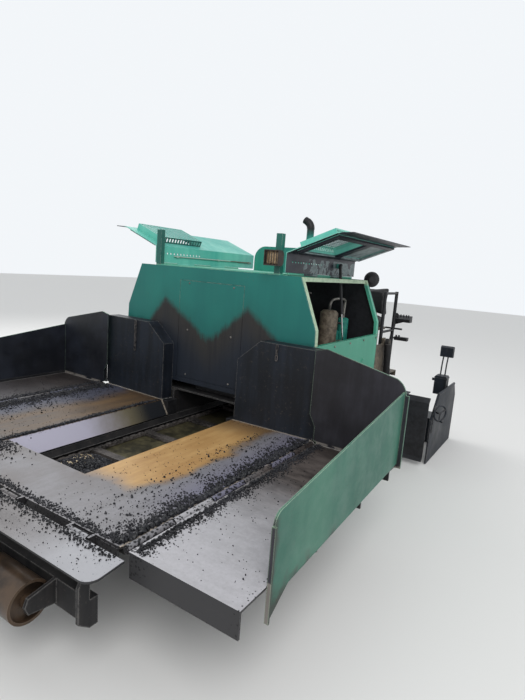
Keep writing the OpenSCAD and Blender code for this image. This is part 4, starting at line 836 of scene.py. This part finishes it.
def crumbs(name, body, on, count, draw, low=0.003, high=0.009):
    """Stones dropped on a node. draw() gives each one's x, y and a share that sets its size."""
    ground = surface_of(on)
    places = []
    for _ in range(count):
        x, y, share = draw()
        size = low + (high - low) * share * dice.random() ** 1.6
        turn = tumbled()
        hit = ground.ray_cast(Vector((x, y, DROP_FROM)), Vector((0, 0, -1)), DROP)[0]
        if hit is None:
            continue
        flat = Vector((size * dice.uniform(0.8, 1.3), size, size * dice.uniform(0.6, 0.9)))
        place = hit + Vector((0, 0, size * 0.35))
        places.append(Matrix.LocRotScale(place, turn, flat))
    keep(repeated(stones, places), name, body, "asphalt")
    print(name, len(places))


def along_seam(x, spread, y0, y1):
    """Thick at the seam and thinning out to one side of it; a negative spread goes towards smaller x."""

    def draw():
        off = abs(dice.gauss(0.0, 1.0))
        y = dice.uniform(y0, y1)
        clump = 0.55 + 0.45 * noise.noise(Vector((x * 3.0, y * 7.0, 0.0)))
        return x + spread * off * clump, y, 1.0 / (0.6 + off)

    return draw


def over(x0, x1, y0, y1):
    def draw():
        return dice.uniform(x0, x1), dice.uniform(y0, y1), dice.random()

    return draw


# %% [markdown]
# The crumbs lie thickest in the hinge seams between floor and wing and along the front, where the apron
# hinges. The right half of the hopper also has a dark line of them along its crease and on the chute's
# front end.

# %% Crumbs of asphalt
SIDES = ((1, "left"), (-1, "right"))
WING_SEAM_X, APRON_SEAM_Y = 1.085, -2.112
FRONT_Y, REAR_Y = -2.05, -0.47
for side, word in SIDES:
    crumbs(
        f"crumbs_floor_{word}", "chassis", "hopper_floor", 2500,
        along_seam(side * HINGE_X, side * -0.110, FRONT_Y, REAR_Y), 0.003, 0.013,
    )
    crumbs(
        f"crumbs_wing_{word}", f"wing_{word}", f"wing_floor_{word}", 1900,
        along_seam(side * WING_SEAM_X, side * 0.060, FRONT_Y, REAR_Y - 0.01),
    )
    crumbs(
        f"scatter_floor_{word}", "chassis", "hopper_floor", 900,
        over(side * 0.66, side * 1.01, -2.04, -0.55), 0.002, 0.009,
    )
    crumbs(
        f"sparse_floor_{word}", "chassis", "hopper_floor", 160,
        over(side * 0.40, side * 0.70, -2.04, -0.9), 0.002, 0.005,
    )
    crumbs(
        f"scatter_wing_{word}", f"wing_{word}", f"wing_floor_{word}", 240,
        over(side * 1.1, side * 1.58, -2.03, -0.5), 0.002, 0.006,
    )
crumbs(
    "crumbs_crease", "chassis", "hopper_floor", 2600,
    along_seam(-CREASE_X - 0.006, -0.030, -1.98, REAR_Y - 0.03), 0.003, 0.010,
)
crumbs(
    "scatter_chute", "chassis", "hopper_floor", 380,
    over(-0.350, -0.235, -1.99, -1.73), 0.002, 0.007,
)
crumbs(
    "crumbs_front_seam", "chassis", "hopper_floor", 1500,
    lambda: (dice.uniform(-1.0, 1.0), FRONT_Y - 0.01 + abs(dice.gauss(0, 0.022)), dice.random()),
)
crumbs(
    "crumbs_front_corner", "chassis", "hopper_floor", 700,
    lambda: (dice.gauss(-0.30, 0.10), dice.gauss(-1.86, 0.09), dice.random()),
)
crumbs(
    "crumbs_apron", "apron", "apron", 1000,
    lambda: (dice.uniform(-1.05, 1.05), APRON_SEAM_Y - abs(dice.gauss(0, 0.022)), dice.random()),
)
crumbs("scatter_apron", "apron", "apron", 300, over(-1.05, 1.05, -2.26, -2.12), 0.002, 0.005)

# %% [markdown]
# In the front of the conveyor's pit lies a heap that the last load left. It is a low mound: a fine grid
# lifted by a smooth hump and by noise, and closed below by pulling its rim down to the deck. Stones alone
# could make the heap, but thousands more would be needed to hide the deck between them.

# %% The heap in the pit
DECK_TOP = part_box("conveyor_deck")[1].z
HEAP_X, HEAP_Y, HEAP_HEIGHT = 0.258, (-1.598, -1.235), 0.072
HEAP_MIDDLE, HEAP_LENGTH = sum(HEAP_Y) / 2, HEAP_Y[1] - HEAP_Y[0]


def heap_height(x, y):
    u = x / HEAP_X
    v = (y - HEAP_MIDDLE) / (HEAP_LENGTH / 2)
    hump = max(0.0, 1.0 - u ** 4) * max(0.0, 1.0 - v ** 4)
    return DECK_TOP + HEAP_HEIGHT * hump * (0.75 + 0.5 * noise.noise(Vector((x * 9, y * 9, 2.0))))


mound = bmesh.new()
bmesh.ops.create_grid(mound, x_segments=48, y_segments=38, size=0.5)
for corner in mound.verts:
    x = corner.co.x * 2 * HEAP_X
    y = HEAP_MIDDLE + corner.co.y * HEAP_LENGTH
    grain = 0.004 * noise.noise(Vector((x * 80, y * 80, 0)))
    corner.co = Vector((x, y, heap_height(x, y) + grain + 0.001))
rim = bmesh.ops.extrude_edge_only(mound, edges=[e for e in mound.edges if e.is_boundary])["geom"]
for corner in [v for v in rim if isinstance(v, bmesh.types.BMVert)]:
    corner.co.z = DECK_TOP + 0.0005
bmesh.ops.holes_fill(mound, edges=[e for e in mound.edges if e.is_boundary])
bmesh.ops.recalc_face_normals(mound, faces=mound.faces)
keep(mound, "pit_heap", "chassis", "asphalt", True)
print("heap from", HEAP_Y[0], "to", HEAP_Y[1])

# %% [markdown]
# Loose stones lie all over the mound, half sunk in it. They are copies of the same few stones as the
# crumbs, and the mound's own formula gives their height, so no ray is needed. A few pale ones never met the
# tar; they lie in one small patch on the right.


# %% Stones of the heap
def heap_stones(name, count, low, high, draw, finish):
    places = []
    for _ in range(count):
        x, y = draw()
        if abs(x) > HEAP_X or not HEAP_Y[0] < y < HEAP_Y[1]:
            continue
        size = dice.uniform(low, high)
        turn = tumbled()
        place = Vector((x, y, heap_height(x, y) + size * 0.5))
        places.append(Matrix.LocRotScale(place, turn, Vector((size * 1.2, size, size * 0.8))))
    keep(repeated(stones, places), name, "chassis", finish)
    print(name, len(places))


heap_stones(
    "heap_crumbs", 2600, 0.004, 0.012,
    lambda: (dice.uniform(-HEAP_X, HEAP_X), dice.uniform(*HEAP_Y)), "asphalt",
)
heap_stones(
    "heap_pale_stones", 300, 0.004, 0.010,
    lambda: (dice.gauss(-0.17, 0.05), dice.gauss(-1.36, 0.09)), "pale_stone",
)

# %% [markdown]
# Screws and bolts are the smallest pieces that the eye expects. A hexagon head is a six-sided cone with no
# taper, and its top edge is bevelled, because an edge that catches the light is what tells a bolt from a
# dark spot. It stands on the surface that it holds, with Z outwards.

# %% Bolt head
hexagon = bmesh.new()
bmesh.ops.create_cone(
    hexagon, segments=6, radius1=1.0, radius2=1.0, depth=0.7, cap_ends=True,
    matrix=Matrix.Translation((0, 0, 0.35)),
)
rim = [e for e in hexagon.edges if all(v.co.z > 0.6 for v in e.verts)]
bmesh.ops.bevel(
    hexagon, geom=rim, offset=0.12, segments=1, profile=0.5, affect="EDGES", material=-1
)
bolt = shape(hexagon, "bolt")
print("faces of a bolt", len(bolt.polygons))

# %% [markdown]
# A pan-head screw is the cap of a ball: the ball is cut at its middle, closed, and pressed to less than
# half its height. A cylinder with a bevel could stand for it too, but its top would stay flat.

# %% Screw head
dome = bmesh.new()
bmesh.ops.create_uvsphere(dome, u_segments=10, v_segments=8, radius=1.0)
bmesh.ops.bisect_plane(
    dome, geom=dome.verts[:] + dome.edges[:] + dome.faces[:],
    plane_co=(0, 0, 0), plane_no=(0, 0, 1), clear_inner=True,
)
bmesh.ops.holes_fill(dome, edges=[e for e in dome.edges if e.is_boundary])
bmesh.ops.scale(dome, vec=(1, 1, 0.45), verts=dome.verts)
bmesh.ops.recalc_face_normals(dome, faces=dome.faces)
screw = shape(dome, "screw")
print("faces of a screw", len(screw.polygons))

# %% [markdown]
# Six round screws hold the access panel in the hood's front wall, and ten bolts in two rows hold each side
# panel. A bump in the paint could show them from the front, but only real heads stand out from the plate in
# every view. One function sets any head at a list of places, each turned by chance, as a spanner leaves
# them.


# %% Screws of the hood
def fasten(name, body, head, places, size, finish="bolt_steel"):
    """Heads at places, each a point and the way that it faces."""
    matrices = [towards(p, d, size, dice.uniform(0, FULL_TURN)) for p, d in places]
    keep(repeated([head], matrices), name, body, finish)


HOOD_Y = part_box("hood_front")[0].y
panel_low, panel_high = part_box("access_panel")
panel_screws = [
    ((x, HOOD_Y, z), (0, -1, 0))
    for x in (panel_low.x + 0.095, panel_high.x - 0.095)
    for z in (panel_high.z - 0.020, (panel_low.z + panel_high.z) / 2, panel_low.z + 0.025)
]
fasten("panel_screws", "chassis", screw, panel_screws, 0.008)

SIDE_X, ROW_Y, ROW_Z = 0.920, (-0.27, 0.02, 0.31, 0.60, 0.89), (0.70, 1.160)
side_screws = [((s * SIDE_X, y, z), (s, 0, 0)) for s, _ in SIDES for y in ROW_Y for z in ROW_Z]
fasten("side_screws", "chassis", bolt, side_screws, 0.009)
print("screws", len(panel_screws) + len(side_screws))

# %% [markdown]
# The pins of the track's shoes show on both sides of each track. An array along a curve could set them, but
# it would bend every head a little in the turns. A track is two straight runs and two half turns, so one
# function turns a distance along the chain into a place, and the pins are spread evenly over the whole
# length.

# %% Pins of the tracks
SHOES, TRACK_CENTRE_Z, IDLER_Y, SPROCKET_Y = 42, 0.250, -1.120, 0.880
CHAIN_R, PIN_R = 0.220, 0.232
TRACK_INNER_X, TRACK_OUTER_X = 0.640, 0.900
RUN, BEND = SPROCKET_Y - IDLER_Y, math.pi * CHAIN_R


def track_point(way):
    """Y and Z of a pin, at a distance along the chain from its lower front end."""
    if way < RUN:
        return IDLER_Y + way, TRACK_CENTRE_Z - PIN_R
    if way < RUN + BEND:
        centre_y, turn = SPROCKET_Y, (way - RUN) / CHAIN_R - math.pi / 2
    elif way < 2 * RUN + BEND:
        return SPROCKET_Y - (way - RUN - BEND), TRACK_CENTRE_Z + PIN_R
    else:
        centre_y, turn = IDLER_Y, math.pi / 2 + (way - 2 * RUN - BEND) / CHAIN_R
    return centre_y + PIN_R * math.cos(turn), TRACK_CENTRE_Z + PIN_R * math.sin(turn)


pins = []
for k in range(SHOES):
    y, z = track_point((k + 0.5) * 2 * (RUN + BEND) / SHOES)
    for s, _ in SIDES:
        pins.append(((s * TRACK_OUTER_X, y, z), (s, 0, 0)))
        pins.append(((s * TRACK_INNER_X, y, z), (-s, 0, 0)))
fasten("track_pins", "chassis", bolt, pins, 0.010, "chain_steel")
print("track pins", len(pins))

# %% [markdown]
# A chain hangs on each fixed wall and holds the wing up when the machine travels. A link is a rod bent to a
# long ring. A torus stretched along one side has the right outline, but its rod grows thick at the ends. So
# a small circle is swept half a turn, drawn straight, swept again and drawn back. Every second link stands
# across.

# %% Hold chains
LINK_ROD, LINK_HALF_W, LINK_STRAIGHT = 0.0028, 0.0078, 0.026
LINK_PITCH = LINK_STRAIGHT + 2 * LINK_HALF_W - 2 * LINK_ROD
CHAINS = ((-0.690, 7), (0.700, 3))


def link_mesh():
    mesh = bmesh.new()
    ring = bmesh.ops.create_circle(
        mesh, segments=8, radius=LINK_ROD,
        matrix=Matrix.Translation((LINK_HALF_W, 0, LINK_STRAIGHT / 2)),
    )["verts"]
    edges = {e for v in ring for e in v.link_edges}
    geometry = list(ring) + list(edges)
    for centre_z, step in ((LINK_STRAIGHT / 2, -LINK_STRAIGHT), (-LINK_STRAIGHT / 2, LINK_STRAIGHT)):
        turned = bmesh.ops.spin(
            mesh, geom=geometry, cent=(0, 0, centre_z), axis=(0, -1, 0), angle=math.pi,
            steps=8, use_merge=False,
        )["geom_last"]
        drawn = bmesh.ops.extrude_edge_only(
            mesh, edges=[g for g in turned if isinstance(g, bmesh.types.BMEdge)]
        )["geom"]
        corners = [g for g in drawn if isinstance(g, bmesh.types.BMVert)]
        bmesh.ops.translate(mesh, verts=corners, vec=(0, 0, step))
        geometry = corners + [g for g in drawn if isinstance(g, bmesh.types.BMEdge)]
    bmesh.ops.remove_doubles(mesh, verts=mesh.verts, dist=1e-5)
    bmesh.ops.recalc_face_normals(mesh, faces=mesh.faces)
    return mesh


link = shape(link_mesh(), "link")
WALL_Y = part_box("hopper_rear_walls")[0].y
chain_low, chain_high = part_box("hold_chains")
print("chains hang from", round(chain_high.z, 3), "to", round(chain_low.z, 3))
TOP_LINK_Z, LINK_Y = chain_high.z - 0.018, WALL_Y - 0.0110
placed = [
    Matrix.Translation((x, LINK_Y, TOP_LINK_Z - k * LINK_PITCH))
    @ Matrix.Rotation(math.radians(90 * (k % 2)), 4, "Z")
    for x, count in CHAINS
    for k in range(count)
]
chains = keep(repeated([link], placed), "chain_links", "chassis", "chain_steel", True)
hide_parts("hold_chains")

# %% [markdown]
# Where a wing folds past the fixed plates, strips of black rubber close the gap so that no asphalt falls on
# the tracks. Boxes could stand for them, but one of the strips is an angle and one is wider below than
# above. So each strip is a section drawn in the plane across it and pulled along, and all its edges are
# rounded a little.

# %% Rubber seals
SEAL_ROUND = 0.002


def strip(name, section, start, length, body):
    """A rubber strip: a section, as points (x, z), pulled along Y from its start."""
    mesh = bmesh.new()
    corners = [mesh.verts.new((x, start, z)) for x, z in section]
    face = mesh.faces.new(corners)
    pulled = bmesh.ops.extrude_face_region(mesh, geom=[face])["geom"]
    ends = [g for g in pulled if isinstance(g, bmesh.types.BMVert)]
    bmesh.ops.translate(mesh, verts=ends, vec=(0, length, 0))
    bmesh.ops.recalc_face_normals(mesh, faces=mesh.faces)
    bmesh.ops.bevel(
        mesh, geom=mesh.edges[:], offset=SEAL_ROUND, segments=2, profile=0.5, affect="EDGES", material=-1
    )
    keep(mesh, name, body, "black_plastic")


FOOT_ANGLE = (
    (1.583, 0.569), (1.600, 0.569), (1.600, 0.600), (1.592, 0.600), (1.592, 0.577), (1.583, 0.577),
)
FLAP = ((1.030, 0.590), (1.075, 0.590), (1.072, 0.800), (1.034, 0.800))
CHEEK = ((0.300, 0.440), (0.361, 0.470), (0.361, 0.566), (0.300, 0.566))
for side, word in SIDES:
    for name, section, start, length, body in (
        ("wing_seal", FOOT_ANGLE, -1.75, 1.28, f"wing_{word}"),
        ("wall_flap", FLAP, -0.448, 0.007, "chassis"),
        ("tunnel_cheek", CHEEK, -0.432, 0.112, "chassis"),
    ):
        strip(f"{name}_{word}", [(side * x, z) for x, z in section], start, length, body)
print("strips", 3 * len(SIDES))

# %% [markdown]
# In the engine bay, steel pipes join the canisters. A row of cylinders would show a kink at every corner,
# so a pipe is a curve with thickness, turned into a mesh: the curve bends softly past its points.


# %% Pipes of the engine bay
def pipe(name, points, radius, finish):
    line = bpy.data.curves.new(name, "CURVE")
    line.dimensions = "3D"
    line.bevel_depth = radius
    line.bevel_resolution = 4
    line.use_fill_caps = True
    spline = line.splines.new("NURBS")
    spline.points.add(len(points) - 1)
    for point, place in zip(spline.points, points):
        point.co = (*place, 1.0)
    spline.order_u = 3
    spline.use_endpoint_u = True
    spline.resolution_u = 8
    drawn = stand(name + "_line", line)
    seen_by = bpy.context.evaluated_depsgraph_get()
    mesh = bmesh.new()
    mesh.from_mesh(drawn.evaluated_get(seen_by).to_mesh())
    bpy.data.objects.remove(drawn)
    keep(mesh, name, "chassis", finish, True)


CANISTER, FUEL_FILTER, OIL_FILTER = (0.600, 0.560, 1.378), (0.640, 0.780, 1.308), (0.600, 0.690, 1.198)
pipe("canister_loop", [
    CANISTER, (0.600, 0.560, 1.440), (0.612, 0.590, 1.476), (0.640, 0.690, 1.480),
    (0.652, 0.765, 1.470), (0.640, 0.780, 1.420), FUEL_FILTER,
], 0.011, "bolt_steel")
pipe("filter_line", [
    OIL_FILTER, (0.600, 0.690, 1.240), (0.606, 0.700, 1.268), (0.650, 0.720, 1.262),
    (0.665, 0.765, 1.250), (0.640, 0.780, 1.290), (0.640, 0.780, 1.309),
], 0.007, "black_plastic")
print("pipes end at", FUEL_FILTER, "and", OIL_FILTER)

# %% [markdown]
# Three clamps hold the corrugated hose. A clamp is a flat steel band with its screw on one side. A torus
# would be round where the band is flat, so a small section is spun once round the hose's axis, and the
# screw is a short cone with no taper.

# %% Hose clamps
HOSE_X, HOSE_Y, HOSE_R, CLAMP_Z = 0.560, 0.170, 0.034, (0.900, 1.290, 1.520)
BAND_IN, BAND_OUT, BAND_WIDTH = -0.002, 0.003, 0.014
BARREL_R, BARREL_LENGTH, BARREL_OUT = 0.006, 0.022, 0.007
for i, z in enumerate(CLAMP_Z):
    band = bmesh.new()
    corners = [
        band.verts.new((HOSE_R + r, 0.0, h))
        for r, h in ((BAND_IN, 0.0), (BAND_OUT, 0.0), (BAND_OUT, BAND_WIDTH), (BAND_IN, BAND_WIDTH))
    ]
    edges = [band.edges.new((corners[k], corners[(k + 1) % 4])) for k in range(4)]
    bmesh.ops.spin(
        band, geom=corners + edges, cent=(0, 0, 0), axis=(0, 0, 1), angle=2 * math.pi,
        steps=32, use_merge=True,
    )
    bmesh.ops.create_cone(
        band, segments=8, radius1=BARREL_R, radius2=BARREL_R, depth=BARREL_LENGTH, cap_ends=True,
        matrix=Matrix.Translation((HOSE_R + BARREL_OUT, 0, BAND_WIDTH / 2))
        @ Matrix.Rotation(math.pi / 2, 4, "X"),
    )
    bmesh.ops.recalc_face_normals(band, faces=band.faces)
    bmesh.ops.translate(band, verts=band.verts, vec=(HOSE_X, HOSE_Y, z))
    keep(band, f"hose_clamp_{i}", "chassis", "bolt_steel")
print("clamps round a hose of radius", HOSE_R)

# %% [markdown]
# The lamp's glass is a small pane with fine ridges that bulges a little, set in the recess behind its bars.
# A flat pane would show the whole sky as one tone, and the ridges break it up. It is a grid whose points
# are pushed out, and solidify adds a second sheet and the rim between the two.

# %% Lamp glass
LAMP_X, LAMP_Y, LAMP_Z = 0.568, -0.3725, 1.769
PANE_W, PANE_H, PANE_BULGE, SHEET_SHIFT = 0.104, 0.092, 0.010, 0.003
RIDGE, RIDGE_TURNS = 0.0008, 28
pane = bmesh.new()
bmesh.ops.create_grid(pane, x_segments=12, y_segments=10, size=0.5)
for corner in pane.verts:
    u, v = corner.co.x * 2, corner.co.y * 2
    out = PANE_BULGE * (1 - u * u) * (1 - v * v) + RIDGE * math.cos(u * RIDGE_TURNS)
    corner.co = Vector((LAMP_X + u * PANE_W / 2, LAMP_Y - out, LAMP_Z + v * PANE_H / 2))
# Solidify reads the normals of the flat grid here, so the second sheet lies higher by the shift, not behind
bmesh.ops.solidify(pane, geom=pane.faces[:], thickness=-SHEET_SHIFT)
bmesh.ops.recalc_face_normals(pane, faces=pane.faces)
keep(pane, "lamp_glass", "chassis", "lamp_glass", True)
print("lamp pane", PANE_W, "by", PANE_H)

# %% [markdown]
# The mirror's back is towards the hopper and its glass towards the driver's seat. Its housing is a dish
# with a lip, which a bevelled cylinder wouldn't have, so an outline is spun on its axis. The glass is a
# flattened ball, so that it shows a wide view, and a bent rod holds the housing.

# %% Mirror
MIRROR, MIRROR_TURN = (0.784, 1.004, 1.664), math.radians(215)
GLASS_R, GLASS_DEPTH, GLASS_FLAT = 0.0575, 0.0112, 0.035
MIRROR_OUTLINE = (
    (0.0, -0.026), (0.030, -0.024), (0.058, -0.008), (0.070, 0.006), (0.070, 0.016),
    (0.064, 0.016), (0.060, 0.012), (0.058, 0.009), (0.0, 0.009),
)
facing_driver = (
    Matrix.Translation(MIRROR)
    @ Matrix.Rotation(MIRROR_TURN, 4, "Z")
    @ Matrix.Rotation(math.pi / 2, 4, "X")
)
dish = bmesh.new()
outline = [dish.verts.new((r, 0.0, z)) for r, z in MIRROR_OUTLINE]
outline_edges = [dish.edges.new(pair) for pair in zip(outline, outline[1:])]
bmesh.ops.spin(
    dish, geom=outline + outline_edges, cent=(0, 0, 0), axis=(0, 0, 1), angle=2 * math.pi,
    steps=40, use_merge=True,
)
bmesh.ops.remove_doubles(dish, verts=dish.verts, dist=1e-5)
bmesh.ops.recalc_face_normals(dish, faces=dish.faces)
bmesh.ops.transform(dish, verts=dish.verts, matrix=facing_driver)
housing = keep(dish, "mirror_housing", "chassis", "black_plastic")
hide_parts("mirror")
pipe("mirror_stalk", [
    (0.750, 0.9403, 1.540), (0.750, 0.966, 1.540), (0.752, 0.972, 1.548), (0.784, 1.003, 1.632),
], 0.007, "black_plastic")
glass = bmesh.new()
bmesh.ops.create_uvsphere(glass, u_segments=32, v_segments=16, radius=GLASS_R)
bmesh.ops.scale(glass, vec=(1, 1, GLASS_FLAT), verts=glass.verts)
bmesh.ops.transform(
    glass, verts=glass.verts, matrix=facing_driver @ Matrix.Translation((0, 0, GLASS_DEPTH))
)
keep(glass, "mirror_glass", "chassis", "mirror_glass", True)
print("mirror at", MIRROR)

# %% [markdown]
# The seats are padded vinyl. A pad is a box with rounded edges, blown up like a cushion: cloth simulation
# with a little pressure and no gravity makes its faces swell and its sides pull in between the corners, as
# a sewn cover does over foam. Sculpting could do it by hand, but not the same again each time. Remesh first
# gives the box even faces, because cloth bends only where it has points.

# %% Swelling a pad
SEAT_X, SEAT_Y, SEAT_Z = (0.330, 0.760), (1.280, 1.640), (1.190, 1.290)
BACK_Y, BACK_Z = (1.600, 1.680), (1.290, 1.600)
SHRINK, SWELL_CAP = 0.013, 0.024
EDGE_ROUND, CLOTH_GRID, PUFF, CLOTH_STEPS = 0.018, 0.006, 4.0, 20


def cushion_start(x, y, z):
    """A box a little smaller than the pad, to leave room for its swelling."""
    mesh = bmesh.new()
    bmesh.ops.create_cube(mesh, size=1.0)
    size = Vector((x[1] - x[0], y[1] - y[0], z[1] - z[0])) - Vector((1, 1, 1)) * 2 * SHRINK
    centre = Vector((sum(x), sum(y), sum(z))) / 2
    bmesh.ops.scale(mesh, vec=size, verts=mesh.verts)
    bmesh.ops.translate(mesh, vec=centre, verts=mesh.verts)
    bmesh.ops.bevel(
        mesh, geom=mesh.edges[:], offset=EDGE_ROUND, segments=3, profile=0.5, affect="EDGES",
        material=-1,
    )
    return mesh


def applied(piece):
    """The piece's mesh as its modifiers leave it."""
    seen_by = bpy.context.evaluated_depsgraph_get()
    mesh = bpy.data.meshes.new_from_object(piece.evaluated_get(seen_by))
    piece.modifiers.clear()
    piece.data = mesh
    return mesh


def swell(piece):
    """Blows a closed piece up by cloth simulation, and holds each point near where it began."""
    remesh = piece.modifiers.new("even", "REMESH")
    remesh.mode = "VOXEL"
    remesh.voxel_size = CLOTH_GRID
    bpy.context.view_layer.update()
    start = [v.co.copy() for v in applied(piece).vertices]
    cloth = piece.modifiers.new("cloth", "CLOTH")
    cloth.settings.use_pressure = True
    cloth.settings.uniform_pressure_force = PUFF
    cloth.settings.effector_weights.gravity = 0.0
    cloth.settings.quality = 4
    scene = bpy.context.scene
    for step in range(1, CLOTH_STEPS + 1):
        scene.frame_set(step)
    for vertex, began in zip(applied(piece).vertices, start):
        away = vertex.co - began
        if away.length > SWELL_CAP:
            vertex.co = began + away.normalized() * SWELL_CAP
    scene.frame_set(1)


# %% [markdown]
# Each seat has a pad to sit on and a back. The left ones are swollen by the cloth, and the pad gets three
# sewn channels: its points are pressed down along straight lines, deepest in the middle. Cutting the
# channels out would leave hard lips, while pressed points keep the vinyl smooth. The right seat is the left
# one mirrored, with its faces turned to look outwards again.

# %% Seats
CHANNELS_X, CHANNEL_HALF_W, CHANNEL_DEPTH = (0.46, 0.545, 0.63), 0.016, 0.007
PAST_X, ABOVE_PAN = 0.004, 0.0005


def sew(mesh, z):
    """Presses the sewn channels into the top of the seat: straight lines, each a shallow groove."""
    for vertex in mesh.vertices:
        if vertex.co.z - z[0] < (z[1] - z[0]) * 0.55:
            continue
        for line in CHANNELS_X:
            off = abs(vertex.co.x - line)
            if off < CHANNEL_HALF_W:
                vertex.co.z -= CHANNEL_DEPTH * (0.5 + 0.5 * math.cos(off / CHANNEL_HALF_W * math.pi))


def vinyl_pad(name, mesh):
    """An object of a pad's mesh, in vinyl."""
    pad = stand(name, shape(mesh, name))
    pad.data.materials.append(FINISHES["seat_vinyl"].material)
    return pad


def padded(name, x, y, z, sewn=False):
    pad = vinyl_pad(name, cushion_start(x, y, z))
    swell(pad)
    if sewn:
        sew(pad.data, z)
    # Keep the pad inside the space that its solid holds
    for vertex in pad.data.vertices:
        vertex.co.x = min(max(vertex.co.x, x[0] - PAST_X), x[1] + PAST_X)
        vertex.co.z = max(vertex.co.z, z[0] + ABOVE_PAN)
    for face in pad.data.polygons:
        face.use_smooth = True
    return pad


def other_side(pad, name):
    mesh = bmesh.new()
    mesh.from_mesh(pad.data)
    bmesh.ops.scale(mesh, vec=(-1, 1, 1), verts=mesh.verts)
    bmesh.ops.reverse_faces(mesh, faces=mesh.faces)
    return vinyl_pad(name, mesh)


seat_pad = padded("seat_pad_left", SEAT_X, SEAT_Y, SEAT_Z, True)
back_pad = padded("seat_back_left", SEAT_X, BACK_Y, BACK_Z)
pads = [
    seat_pad, back_pad, other_side(seat_pad, "seat_pad_right"), other_side(back_pad, "seat_back_right"),
]
for pad in pads:
    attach(pad, "chassis")
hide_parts("seats")
print("pads", [len(pad.data.polygons) for pad in pads])
